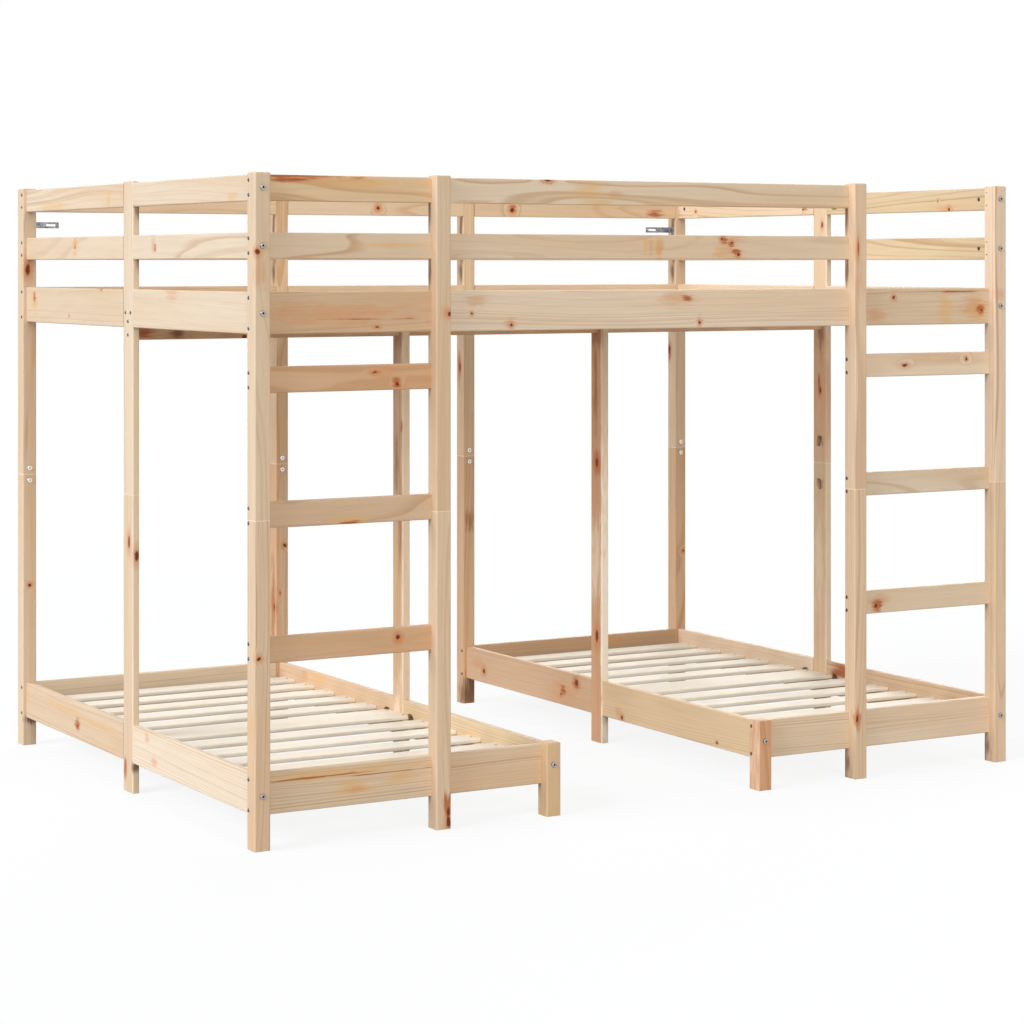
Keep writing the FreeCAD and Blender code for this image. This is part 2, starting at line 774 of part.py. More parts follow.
def beamScrews():
    """Four screws into each end of the beam's pieces, two in the cap and two in the web."""
    ends = []
    for y in ("-narrowScrewSpread", "narrowScrewSpread"):
        ends.append((y, "capBottom + boardThick / 2"))
    for sign in ("-", "+"):
        ends.append(("0", f"webBottom + narrowBoard / 2 {sign} narrowScrewSpread"))
    for y, z in ends:
        outer = (("postLeft + boardInset", alongX), ("postRight + boardInset + boardThick", -alongX))
        for face, way in outer:
            drive("rail_screws", "beamScrew", point(face, y, z), way)
            bore(point(face, y, z), way, beamScrewLength, "screwRadius")
        for left in ("postInnerLeft", "postInnerRight"):
            at = point(f"{left} + postWidth / 2", y, z)
            drive("double_screws", "uprightDouble", at, alongX)
            midBore(at, alongX, uprightDoubleLength, "screwRadius")


def sunk(node, master, at, way):
    drive(node, master, at, way)
    sunkBore(at, way, master + "Length")


def slatScrews():
    """One flush screw at each end of each slat, and four in each wide one."""
    for x in bunkSlatPlaces:
        for y in ("frontInner + ledgeSize / 2", "backInner - ledgeSize / 2"):
            sunk("slat_screws", "slatScrew", point(x, y, "bunkSeat + slatThick"), -alongZ)
    for bed, (left, right) in lowBeds.items():
        halves = lowBedHalfMiddles[bed]
        for x, half in ((f"{left} + ledgeSize / 2", halves[0]), (f"{right} - ledgeSize / 2", halves[1])):
            wide = f"({half} + centreSlatWidth / 2) / 2"
            for y in lowSlatPlaces + [wide, "-" + wide]:
                sunk("slat_screws", "slatScrew", point(x, y, "lowSeat + slatThick"), -alongZ)


def ledgeScrews():
    """Flush screws from the ledges into their rails, between the slats."""
    z = "lowSeat - ledgeSize / 2"
    gaps = []
    for index in range(len(lowSlatPlaces) // 2 - 1):
        for sign in ("-", ""):
            gaps.append(f"{sign}(firstSlatReach + {2 * index + 1} * lowSlatPitch / 2)")
    for left, right in lowBeds.values():
        for y in gaps:
            sunk("ledge_screws", "ledgeScrew", point(f"{left} + ledgeSize", y, z), -alongX)
            sunk("ledge_screws", "ledgeScrew", point(f"{right} - ledgeSize", y, z), alongX)
    z = "bunkSeat - ledgeSize / 2"
    for node, level, row, pairs in crossRails:
        if level != "bunk":
            continue
        if row == "front":
            y, way = "frontInner + ledgeSize", -alongY
        else:
            y, way = "backInner - ledgeSize", alongY
        for start, end in pairs:
            first = number(f"{start} + postWidth + ledgeSize")
            last = number(f"{end} - ledgeSize")
            for slat in bunkSlatPlaces[:-1]:
                x = f"{slat} + bunkSlatPitch / 2"
                if first < number(x) < last:
                    sunk("ledge_screws", "ledgeScrew", point(x, y, z), way)


def brackets():
    """An angle behind each back corner, and the pilot holes that the front right post has spare."""
    turns = (("postLeft + postWidth", 1, FreeCAD.Rotation()),
             ("postRight", -1, FreeCAD.Rotation(alongY, 180)))
    for face, side, turn in turns:
        place("wall_brackets", "wallBracket", point(face, "wallPlane", "bracketCentre"), turn)
        at = point(f"{face} + ({side}) * bracketThick", "wallPlane - bracketScrewReach", "bracketCentre")
        drive("bracket_screws", "bracketScrew", at, alongX * -side)
        bore(at, alongX * -side, "bracketScrewGrip + bracketThick", "screwRadius")
    for level in ("highGuard", "lowGuard"):
        for sign in ("-", "+"):
            z = f"{levelCentre(level)} {sign} narrowScrewSpread"
            bore(point("postRight", "frontInner - boardThick / 2", z), alongX, "pilotDepth", "screwRadius")


def ease(block):
    """Round the block's long edges, and the rim of a free top."""
    lengths = (block.Length.Value, block.Width.Value, block.Height.Value)
    longest = lengths.index(max(lengths))
    top = block.Shape.BoundBox.ZMax
    radius = number("easeRadius")
    edges = []
    for index, edge in enumerate(block.Shape.Edges, start=1):
        ends = [vertex.Point for vertex in edge.Vertexes]
        isLong = abs(ends[1][longest] - ends[0][longest]) > lengths[longest] / 2
        isRim = block.Name in easedTops and min(end.z for end in ends) > top - radius
        if isLong or isRim:
            edges.append((index, radius, radius))
    eased = document.addObject("Part::Fillet", block.Name.replace("block", "eased"))
    eased.Base = block
    eased.Edges = edges
    return eased


def boreBoard(eased):
    """The board less every bore that meets it."""
    box = eased.Shape.BoundBox
    met = [tool for tool in bores if tool.BoundBox.intersect(box)]
    if not met:
        return eased
    tools = document.addObject("Part::Feature", eased.Name.replace("eased", "bores"))
    tools.Shape = Part.makeCompound(met)
    cut = document.addObject("Part::Cut", eased.Name.replace("eased", "board"))
    cut.Base = eased
    cut.Tool = tools
    cut.Refine = False
    return cut


posts()
planksAndUprights()
rails()
beam()
ledges()
slats()
document.recompute()

crossRailScrews()
sideRailJoints()
seams()
beamScrews()
slatScrews()
ledgeScrews()
brackets()

easedBoards = {node: [ease(block) for block in blocks] for node, blocks in nodeBlocks.items()}
document.recompute()
boards = {node: [boreBoard(eased) for eased in group] for node, group in easedBoards.items()}
document.recompute()

subParts = []
for node, group in boards.items():
    if len(group) == 1:
        subPart = group[0]
    else:
        subPart = document.addObject("Part::Compound", node + "_group")
        subPart.Links = group
    subPart.Label = node
    subParts.append(subPart)
for node, shapes in nodeFasteners.items():
    subPart = document.addObject("Part::Feature", node + "_set")
    subPart.Shape = Part.makeCompound(shapes)
    subPart.Placement = FreeCAD.Placement()
    subPart.Label = node
    subParts.append(subPart)
document.recompute()

for item in document.Objects:
    if "Invalid" in item.State or "Error" in item.State:
        raise RuntimeError("failed: " + item.Name)
for body in masters.values():
    steps = [step for step in body.Group if step.TypeId == "PartDesign::Pocket"]
    for step in steps:
        if not step.Shape.Volume < step.BaseFeature.Shape.Volume:
            raise RuntimeError("cuts nothing: " + step.Name)
for subPart in subParts:
    if subPart.Shape.isNull() or not subPart.Shape.isValid():
        raise RuntimeError("bad shape: " + subPart.Label)

os.makedirs("parts", exist_ok=True)
for subPart in subParts:
    subPart.Shape.exportStep(f"parts/{subPart.Label}.step")
    print(subPart.Label, len(subPart.Shape.Solids), round(subPart.Shape.Volume))
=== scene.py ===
import math
import bpy
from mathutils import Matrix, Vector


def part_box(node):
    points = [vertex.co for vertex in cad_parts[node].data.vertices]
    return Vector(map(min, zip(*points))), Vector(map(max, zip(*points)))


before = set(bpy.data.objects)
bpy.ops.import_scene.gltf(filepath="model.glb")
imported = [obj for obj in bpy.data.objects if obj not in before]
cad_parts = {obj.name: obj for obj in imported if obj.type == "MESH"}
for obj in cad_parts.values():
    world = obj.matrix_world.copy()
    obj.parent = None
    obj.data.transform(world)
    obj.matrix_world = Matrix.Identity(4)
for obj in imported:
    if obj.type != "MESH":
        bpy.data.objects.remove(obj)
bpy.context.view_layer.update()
print("bed frame loaded:", len(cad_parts), "nodes")


def colour(red, green, blue):
    # screen colour from 0 to 255, as the linear colour that a shader takes
    values = []
    for part in (red, green, blue):
        share = part / 255
        if share <= 0.04045:
            values.append(share / 12.92)
        else:
            values.append(((share + 0.055) / 1.055) ** 2.4)
    return (values[0], values[1], values[2], 1.0)


# Small helpers for node trees
def addNode(tree, kind, **settings):
    node = tree.nodes.new(kind)
    for name, value in settings.items():
        setattr(node, name, value)
    return node


def feed(tree, socket, value):
    # a socket is linked, and anything else is written on it
    if isinstance(value, bpy.types.NodeSocket):
        tree.links.new(value, socket)
    else:
        socket.default_value = value


def calc(tree, operation, first, second=0.0, third=None):
    node = addNode(tree, "ShaderNodeMath", operation=operation)
    feed(tree, node.inputs[0], first)
    feed(tree, node.inputs[1], second)
    if third is not None:
        feed(tree, node.inputs[2], third)
    return node.outputs[0]


def vectorCalc(tree, operation, first, second=None, scale=None):
    node = addNode(tree, "ShaderNodeVectorMath", operation=operation)
    feed(tree, node.inputs[0], first)
    if second is not None:
        feed(tree, node.inputs[1], second)
    if scale is not None:
        feed(tree, node.inputs["Scale"], scale)
    if operation in ("LENGTH", "DISTANCE"):
        return node.outputs["Value"]
    return node.outputs["Vector"]


def gathered(tree, operation, values):
    # one value from many
    total = values[0]
    for value in values[1:]:
        total = calc(tree, operation, total, value)
    return total


def parted(tree, vector):
    node = addNode(tree, "ShaderNodeSeparateXYZ")
    feed(tree, node.inputs[0], vector)
    return node.outputs


def joined(tree, parts):
    node = addNode(tree, "ShaderNodeCombineXYZ")
    for index, part in enumerate(parts):
        feed(tree, node.inputs[index], part)
    return node.outputs[0]


def grey(tree, value):
    node = addNode(tree, "ShaderNodeCombineColor")
    for index in range(3):
        feed(tree, node.inputs[index], value)
    return node.outputs[0]


def spread(tree, value, low, high, lowOut=0.0, highOut=1.0, smooth=True):
    node = addNode(tree, "ShaderNodeMapRange")
    node.interpolation_type = "SMOOTHSTEP" if smooth else "LINEAR"
    node.clamp = True
    feed(tree, node.inputs["Value"], value)
    feed(tree, node.inputs["From Min"], low)
    feed(tree, node.inputs["From Max"], high)
    feed(tree, node.inputs["To Min"], lowOut)
    feed(tree, node.inputs["To Max"], highOut)
    return node.outputs["Result"]


# The mix node's sockets for colours come after those for numbers and vectors
colourSockets = {"first": 6, "second": 7, "result": 2}


def blendColour(tree, share, first, second, kind="MIX"):
    node = addNode(tree, "ShaderNodeMix", data_type="RGBA", blend_type=kind)
    feed(tree, node.inputs["Factor"], share)
    feed(tree, node.inputs[colourSockets["first"]], first)
    feed(tree, node.inputs[colourSockets["second"]], second)
    return node.outputs[colourSockets["result"]]


def noise(tree, place, scale, detail=2.0, roughness=0.5, output="Fac"):
    node = addNode(tree, "ShaderNodeTexNoise", noise_dimensions="3D")
    feed(tree, node.inputs["Vector"], place)
    feed(tree, node.inputs["Scale"], scale)
    feed(tree, node.inputs["Detail"], detail)
    feed(tree, node.inputs["Roughness"], roughness)
    return node.outputs[output]


def addBump(tree, shader, height, strength, distance):
    bump = addNode(tree, "ShaderNodeBump")
    bump.inputs["Strength"].default_value = strength
    bump.inputs["Distance"].default_value = distance
    tree.links.new(height, bump.inputs["Height"])
    tree.links.new(bump.outputs["Normal"], shader.inputs["Normal"])


def newGroup(name, inputs, outputs):
    group = bpy.data.node_groups.new(name, "ShaderNodeTree")
    for label, kind, value in inputs:
        socket = group.interface.new_socket(label, in_out="INPUT", socket_type=kind)
        socket.default_value = value
    for label, kind in outputs:
        group.interface.new_socket(label, in_out="OUTPUT", socket_type=kind)
    return group, group.nodes.new("NodeGroupInput"), group.nodes.new("NodeGroupOutput")


def useGroup(tree, group, **values):
    node = addNode(tree, "ShaderNodeGroup", node_tree=group)
    for label, value in values.items():
        feed(tree, node.inputs[label], value)
    return node


# Board cells: every board of a node gets its own place and its own chance numbers
wide = 9.0        # a pitch wider than the bed, so that the node isn't parted that way
endless = 50.0    # a count past any node's last cell


def makeBoardCells():
    group, given, result = newGroup("boardCells", [
        ("Position", "NodeSocketVector", (0, 0, 0)),
        ("Start", "NodeSocketVector", (0, 0, 0)),
        ("Pitch", "NodeSocketVector", (wide, wide, wide)),
        ("Reach", "NodeSocketFloat", endless),
        ("Lot", "NodeSocketFloat", 0.0),
    ], [("Local", "NodeSocketVector"), ("Chance", "NodeSocketVector"), ("Cell", "NodeSocketVector")])
    pitch = given.outputs["Pitch"]
    shifted = vectorCalc(group, "SUBTRACT", given.outputs["Position"], given.outputs["Start"])
    cell = vectorCalc(group, "FLOOR", vectorCalc(group, "DIVIDE", shifted, pitch))
    reach = joined(group, [given.outputs["Reach"]] * 3)
    low = vectorCalc(group, "SCALE", reach, scale=-1.0)
    cell = vectorCalc(group, "MINIMUM", vectorCalc(group, "MAXIMUM", cell, low), reach)
    middle = vectorCalc(group, "MULTIPLY", vectorCalc(group, "ADD", cell, (0.5, 0.5, 0.5)), pitch)
    feed(group, result.inputs["Local"], vectorCalc(group, "SUBTRACT", shifted, middle))
    dice = addNode(group, "ShaderNodeTexWhiteNoise", noise_dimensions="4D")
    feed(group, dice.inputs["Vector"], cell)
    feed(group, dice.inputs["W"], given.outputs["Lot"])
    feed(group, result.inputs["Chance"], dice.outputs["Color"])
    feed(group, result.inputs["Cell"], cell)
    return group


# Pine grain: growth rings round a wandering pith that runs along the board
grainShape = {
    "boardsApart": 37.0,        # how far boards lie from each other in the noises
    "angleSpan": 1.3,           # radians
    "angleFrom": 0.92,
    "nearestPith": 0.055,       # metres from the board's middle
    "lean": 0.03,
    "swayScale": 1.5,
    "swayDetail": 0.5,
    "swayGain": 4.0,
    "roughStretch": 0.10,       # how fast a noise changes along the board, as a share of across it
    "roughScale": 13.0,
    "roughDetail": 0.6,
    "roughGrit": 0.4,
    "roughDepth": 0.028,        # metres that the rings wander by
    "yearScale": 34.0,
    "yearTurn": 9.0,
    "yearShift": 1.6,           # rings that good and bad years shift them by
    "lateFrom": 0.58,           # share of a ring where its late wood starts, and where it is darkest
    "lateFull": 0.90,
    "boldSpan": 0.75,           # how far rings differ in strength, above the faintest
    "boldLeast": 0.25,
    "toneStretch": 0.12,
    "toneScale": 9.0,
    "toneDetail": 1.0,
    "fibreStretch": 0.05,
    "fibreDetail": 2.0,
    "fibreGrit": 0.6,
    "streakScale": 120.0,
    "fibreScale": 700.0,
}


def makePineGrain():
    group, given, result = newGroup("pineGrain", [
        ("Local", "NodeSocketVector", (0, 0, 0)),
        ("Chance", "NodeSocketVector", (0.5, 0.5, 0.5)),
        ("Ring Width", "NodeSocketFloat", 0.005),
        ("Pith Reach", "NodeSocketFloat", 0.070),
        ("Waver", "NodeSocketFloat", 0.0030),
        ("Bend", "NodeSocketFloat", 0.0),
    ], [
        ("Ring", "NodeSocketFloat"), ("Streak", "NodeSocketFloat"),
        ("Tone", "NodeSocketFloat"), ("Fibre", "NodeSocketFloat"),
    ])
    shape = grainShape
    local = given.outputs["Local"]
    chance = given.outputs["Chance"]
    along, acrossA, acrossB = parted(group, local)
    dice = parted(group, chance)
    offset = vectorCalc(group, "SCALE", chance, scale=shape["boardsApart"])

    def drawnOut(stretch):
        # place in a noise that runs along the board
        drawn = vectorCalc(group, "MULTIPLY", local, (stretch, 1.0, 1.0))
        return vectorCalc(group, "ADD", drawn, offset)

    def eitherSide(value):
        # from 0 to 1, moved to lie either side of nought
        return calc(group, "SUBTRACT", value, 0.5)

    # place of the pith: its own angle and reach for each board, with a slow sway along it
    angle = calc(group, "MULTIPLY_ADD", dice[0], shape["angleSpan"], shape["angleFrom"])
    reach = calc(group, "MULTIPLY_ADD", dice[1], given.outputs["Pith Reach"], shape["nearestPith"])
    lean = calc(group, "MULTIPLY", eitherSide(dice[2]), shape["lean"])
    reach = calc(group, "MULTIPLY_ADD", along, lean, reach)
    slow = vectorCalc(group, "ADD", joined(group, [along]), offset)
    sway = parted(group, noise(group, slow, shape["swayScale"], shape["swayDetail"], output="Color"))
    width = calc(group, "MULTIPLY", given.outputs["Waver"], shape["swayGain"])
    squares = []
    for turn, across, swing in (("COSINE", acrossA, sway[0]), ("SINE", acrossB, sway[1])):
        moved = calc(group, "MULTIPLY", eitherSide(swing), width)
        pith = calc(group, "MULTIPLY_ADD", calc(group, turn, angle), reach, moved)
        side = calc(group, "SUBTRACT", across, pith)
        squares.append(calc(group, "MULTIPLY", side, side))
    radius = calc(group, "SQRT", gathered(group, "ADD", squares))

    # rings of uneven width, bent round the knots
    rough = noise(group, drawnOut(shape["roughStretch"]), shape["roughScale"], shape["roughDetail"],
                  shape["roughGrit"])
    radius = calc(group, "MULTIPLY_ADD", eitherSide(rough), shape["roughDepth"], radius)
    radius = calc(group, "ADD", radius, given.outputs["Bend"])
    years = addNode(group, "ShaderNodeTexNoise", noise_dimensions="1D")
    turned = calc(group, "MULTIPLY", angle, shape["yearTurn"])
    feed(group, years.inputs["W"], calc(group, "MULTIPLY_ADD", radius, shape["yearScale"], turned))
    turns = calc(group, "DIVIDE", radius, given.outputs["Ring Width"])
    turns = calc(group, "MULTIPLY_ADD", years.outputs["Fac"], shape["yearShift"], turns)
    share = calc(group, "FRACT", turns)
    rise = spread(group, share, shape["lateFrom"], shape["lateFull"])
    fall = spread(group, share, shape["lateFull"], 1.0, 1.0, 0.0)
    ring = calc(group, "MULTIPLY", rise, fall)
    strength = addNode(group, "ShaderNodeTexWhiteNoise", noise_dimensions="1D")
    feed(group, strength.inputs["W"], calc(group, "FLOOR", turns))
    bold = calc(group, "MULTIPLY_ADD", strength.outputs["Value"], shape["boldSpan"], shape["boldLeast"])
    feed(group, result.inputs["Ring"], calc(group, "MULTIPLY", ring, bold))

    # wide soft bands, and fine fibres along the board
    bands = noise(group, drawnOut(shape["toneStretch"]), shape["toneScale"], shape["toneDetail"])
    feed(group, result.inputs["Tone"], bands)
    thin = drawnOut(shape["fibreStretch"])
    for label, scale in (("Streak", shape["streakScale"]), ("Fibre", shape["fibreScale"])):
        feed(group, result.inputs[label], noise(group, thin, scale, shape["fibreDetail"], shape["fibreGrit"]))
    return group


def awayFrom(group, given, apart):
    # distance from a mark's centre, in radii, with the mark drawn out by its squeeze
    apart = vectorCalc(group, "MULTIPLY", apart, given.outputs["Squeeze"])
    return calc(group, "DIVIDE", vectorCalc(group, "LENGTH", apart), given.outputs["Radius"])


# Knot: dark core, ring of warm wood round it, and the grain that bends past it
knotShape = {
    "rippleScale": 90.0,
    "rippleDetail": 1.0,
    "rippleDepth": 0.007,       # metres
    "core": (0.55, 1.15),       # where it starts to fade and where it ends, in radii
    "halo": (0.8, 3.2),
    "bulgeFade": -0.16,
    "bulgeGain": 1.5,
}


def makeKnot():
    group, given, result = newGroup("knot", [
        ("Position", "NodeSocketVector", (0, 0, 0)),
        ("Centre", "NodeSocketVector", (0, 0, 0)),
        ("Squeeze", "NodeSocketVector", (1, 1, 1)),
        ("Radius", "NodeSocketFloat", 0.008),
    ], [("Core", "NodeSocketFloat"), ("Halo", "NodeSocketFloat"), ("Bend", "NodeSocketFloat")])
    shape = knotShape
    place = given.outputs["Position"]
    apart = vectorCalc(group, "SUBTRACT", place, given.outputs["Centre"])
    ripple = noise(group, place, shape["rippleScale"], shape["rippleDetail"], output="Color")
    shake = vectorCalc(group, "SUBTRACT", ripple, (0.5, 0.5, 0.5))
    apart = vectorCalc(group, "ADD", apart, vectorCalc(group, "SCALE", shake, scale=shape["rippleDepth"]))
    away = awayFrom(group, given, apart)
    feed(group, result.inputs["Core"], spread(group, away, *shape["core"], 1.0, 0.0))
    feed(group, result.inputs["Halo"], spread(group, away, *shape["halo"], 1.0, 0.0))
    faded = calc(group, "MULTIPLY", calc(group, "MULTIPLY", away, away), shape["bulgeFade"])
    bulge = calc(group, "MULTIPLY", calc(group, "EXPONENT", faded), given.outputs["Radius"])
    feed(group, result.inputs["Bend"], calc(group, "MULTIPLY", bulge, shape["bulgeGain"]))
    return group


# Patch mask for stains, painted shade and painted highlights: a soft patch with edges drawn out along the
# fibres
patchShape = {
    "stretch": 0.12,
    "noiseScale": 150.0,
    "noiseDetail": 2.0,
    "noiseGrit": 0.6,
    "ragged": 2.6,              # how far the noise moves the edge, in radii
    "edge": (0.25, 1.4),
}


def makePatch():
    group, given, result = newGroup("markPatch", [
        ("Position", "NodeSocketVector", (0, 0, 0)),
        ("Local", "NodeSocketVector", (0, 0, 0)),
        ("Centre", "NodeSocketVector", (0, 0, 0)),
        ("Squeeze", "NodeSocketVector", (1, 1, 1)),
        ("Radius", "NodeSocketFloat", 0.012),
    ], [("Mask", "NodeSocketFloat")])
    shape = patchShape
    apart = vectorCalc(group, "SUBTRACT", given.outputs["Position"], given.outputs["Centre"])
    away = calc(group, "SUBTRACT", awayFrom(group, given, apart), shape["ragged"] / 2)
    thin = vectorCalc(group, "MULTIPLY", given.outputs["Local"], (shape["stretch"], 1.0, 1.0))
    frayed = noise(group, thin, shape["noiseScale"], shape["noiseDetail"], shape["noiseGrit"])
    away = calc(group, "MULTIPLY_ADD", frayed, shape["ragged"], away)
    feed(group, result.inputs["Mask"], spread(group, away, *shape["edge"], 1.0, 0.0))
    return group


# Handling marks: faint smudges that any bare surface has
handlingShape = {
    "scale": 14.0,
    "detail": 3.0,
    "grit": 0.6,
    "edge": (0.35, 0.75),
}


def makeHandling():
    shape = handlingShape
    group, given, result = newGroup("handling", [
        ("Position", "NodeSocketVector", (0, 0, 0)),
        ("Scale", "NodeSocketFloat", shape["scale"]),
    ], [("Smudge", "NodeSocketFloat")])
    cloud = noise(group, given.outputs["Position"], given.outputs["Scale"], shape["detail"], shape["grit"])
    feed(group, result.inputs["Smudge"], spread(group, cloud, *shape["edge"]))
    return group


boardCells = makeBoardCells()
pineGrain = makePineGrain()
knotGroup = makeKnot()
patchGroup = makePatch()
handling = makeHandling()

# Planed pine of the frame, and the nearly white wood of the slats and dowels
pineLook = {
    "early": colour(223, 194, 160),     # pale spring wood
    "late": colour(182, 128, 76),       # darker edge of each growth ring
    "warm": colour(216, 174, 130),      # warm bands
    "knotHalo": colour(202, 118, 58),
    "knotCore": colour(116, 46, 16),
    "paleAndLit": colour(229, 204, 173),     # paler wood along one side of a board, partly painted light on its lit face
    "honey": colour(222, 170, 98),
    "rose": colour(210, 147, 99),
    "streak": colour(168, 76, 26),      # resin streaks
    "shade": colour(118, 78, 54),       # painted shade: dark strips where boards meet and under rails
    "umberAndShade": colour(150, 98, 62),       # dark bands in the heartwood, and painted shade at the tops of the inner uprights under the bunk
    "glint": colour(247, 236, 217),     # painted highlight: a pale line at the sharp edge where a lower half meets its upper half, and a lighter lit face
    "endGrain": colour(192, 154, 114),
    "ringWidth": 0.0054,
    "ringShare": 0.80,
    "roughness": 0.50,
    "sheen": 0.24,                      # bare wood shines less than a lacquered face
}
slatLook = {
    "early": colour(247, 236, 217),
    "late": colour(236, 214, 180),
    "warm": colour(240, 222, 192),
    "endGrain": colour(222, 196, 158),
    "ringWidth": 0.0036,
    "ringShare": 0.45,
    "roughness": 0.58,
    "sheen": 0.30,
}

# How far each kind of patch covers the wood (stains, painted shade and painted highlights), from the lowest
# layer up
patchShare = {
    "paleAndLit": 0.9,
    "honey": 0.5,
    "rose": 0.5,
    "streak": 0.85,
    "shade": 0.85,
    "umberAndShade": 0.75,
    "glint": 0.7,
}

# Tones that boards of one delivery differ by, as factors on their colour
boardTone = {
    "chalk": (1.10, 1.21, 1.36, 1.0),
    "cream": (1.03, 1.12, 1.22, 1.0),
    "fair": (1.08, 1.12, 1.20, 1.0),
    "pale": (1.00, 1.04, 1.08, 1.0),
    "golden": (1.00, 0.97, 0.88, 1.0),
    "tan": (0.93, 0.89, 0.86, 1.0),
    "ruddy": (0.94, 0.83, 0.75, 1.0),
    "brown": (0.83, 0.74, 0.68, 1.0),
    "straw": (0.90, 0.94, 0.88, 1.0),
    "rust": (0.93, 0.73, 0.63, 1.0),
    "dusky": (0.74, 0.66, 0.60, 1.0),
}

# How the grain's masks become colour, gloss and relief
pineSurface = {
    "faintBoard": 0.4,          # the faintest board's share of the rings' strength
    "warmEdge": (0.42, 0.72),
    "warmShare": 0.5,
    "streakEdge": (0.3, 0.75),
    "streakDim": 0.93,
    "boardDim": 0.95,
    "haloShare": 0.5,
    "endEdge": (0.8, 0.97),
    "endShare": 0.6,
    "ringGloss": -0.10,         # what the rings and the smudges add to the roughness
    "smudgeDull": 0.08,
    "ringRelief": 0.5,
    "bumpStrength": 0.25,
    "bumpDepth": 0.0004,
}


def useMark(tree, group, mark, **places):
    centre, radius, squeeze = mark[1:]
    return useGroup(tree, group, Centre=centre, Radius=radius, Squeeze=squeeze, **places)


def pineMaterial(name, look, row, lot, marks=(), tones=None):
    grainAxis, start, pitch, reach = row
    surface = pineSurface
    material = bpy.data.materials.new(name)
    material.use_nodes = True
    tree = material.node_tree
    tree.nodes.clear()
    shader = addNode(tree, "ShaderNodeBsdfPrincipled")
    shader.inputs["Specular IOR Level"].default_value = look["sheen"]
    output = addNode(tree, "ShaderNodeOutputMaterial")
    tree.links.new(shader.outputs["BSDF"], output.inputs["Surface"])
    coordinates = addNode(tree, "ShaderNodeTexCoord")
    place = coordinates.outputs["Object"]
    cells = useGroup(tree, boardCells, Position=place, Start=start, Pitch=pitch, Reach=reach, Lot=lot)

    # the grain group takes the board's length first
    turned = parted(tree, cells.outputs["Local"])
    order = {"X": (0, 1, 2), "Y": (1, 0, 2), "Z": (2, 0, 1)}[grainAxis]
    local = joined(tree, [turned[source] for source in order])
    grain = useGroup(tree, pineGrain, Local=local, Chance=cells.outputs["Chance"])
    grain.inputs["Ring Width"].default_value = look["ringWidth"]
    knots = [useMark(tree, knotGroup, mark, Position=place) for mark in marks if mark[0] == "knot"]
    if knots:
        feed(tree, grain.inputs["Bend"], gathered(tree, "ADD", [knot.outputs["Bend"] for knot in knots]))

    # rings, warm bands and fibres, then the board's own tone
    dice = parted(tree, cells.outputs["Chance"])
    faint = look["ringShare"] * surface["faintBoard"]
    boldness = spread(tree, dice[0], 0.0, 1.0, faint, look["ringShare"], False)
    ringShare = calc(tree, "MULTIPLY", grain.outputs["Ring"], boldness)
    base = blendColour(tree, ringShare, look["early"], look["late"])
    warm = spread(tree, grain.outputs["Tone"], *surface["warmEdge"], 0.0, surface["warmShare"])
    base = blendColour(tree, warm, base, look["warm"])
    fine = spread(tree, grain.outputs["Streak"], *surface["streakEdge"], 1.0, surface["streakDim"])
    base = blendColour(tree, 1.0, base, grey(tree, fine), "MULTIPLY")
    board = spread(tree, dice[1], 0.0, 1.0, 1.0, surface["boardDim"], False)
    base = blendColour(tree, 1.0, base, grey(tree, board), "MULTIPLY")
    for cell, tone in (tones or {}).items():
        apart = vectorCalc(tree, "DISTANCE", cells.outputs["Cell"], cell)
        base = blendColour(tree, calc(tree, "LESS_THAN", apart, 0.5), base, boardTone[tone], "MULTIPLY")

    # stains, painted shade and painted highlights in their layers, and the knots over them
    for kind, share in patchShare.items():
        masks = [useMark(tree, patchGroup, mark, Position=place, Local=local).outputs["Mask"]
                 for mark in marks if mark[0] == kind]
        if masks:
            covered = calc(tree, "MULTIPLY", gathered(tree, "MAXIMUM", masks), share)
            base = blendColour(tree, covered, base, look[kind])
    if knots:
        halo = gathered(tree, "MAXIMUM", [knot.outputs["Halo"] for knot in knots])
        core = gathered(tree, "MAXIMUM", [knot.outputs["Core"] for knot in knots])
        base = blendColour(tree, calc(tree, "MULTIPLY", halo, surface["haloShare"]), base, look["knotHalo"])
        base = blendColour(tree, core, base, look["knotCore"])

    # end grain is darker than the faces
    facing = parted(tree, coordinates.outputs["Normal"])["XYZ".index(grainAxis)]
    towards = calc(tree, "ABSOLUTE", facing)
    endShare = spread(tree, towards, *surface["endEdge"], 0.0, surface["endShare"])
    base = blendColour(tree, endShare, base, look["endGrain"])
    tree.links.new(base, shader.inputs["Base Color"])

    smudge = useGroup(tree, handling, Position=place).outputs["Smudge"]
    dull = calc(tree, "MULTIPLY_ADD", grain.outputs["Ring"], surface["ringGloss"], look["roughness"])
    dull = calc(tree, "MULTIPLY_ADD", smudge, surface["smudgeDull"], dull)
    tree.links.new(dull, shader.inputs["Roughness"])
    height = calc(tree, "MULTIPLY_ADD", grain.outputs["Ring"], surface["ringRelief"], grain.outputs["Fibre"])
    addBump(tree, shader, height, surface["bumpStrength"], surface["bumpDepth"])
    return material


def dress(nodeName, material):
    # the piece keeps its CAD shape and gets the material in every slot
    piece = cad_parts[nodeName]
    if isinstance(piece, str):
        piece = bpy.data.objects[piece]
    if not piece.material_slots:
        piece.data.materials.append(material)
    for slot in piece.material_slots:
        slot.material = material


# How a mark is drawn out: a small share along an axis makes it long that way
flat = (1, 1, 1)
longX = (0.45, 1, 1)
longY = (1, 0.45, 1)
ovalZ = (1, 1, 0.6)
tallZ = (1, 1, 0.42)
stripZ = (1, 1, 0.28)
slimZ = (1, 1, 0.2)
edgeZ = (0.05, 1, 0.004)
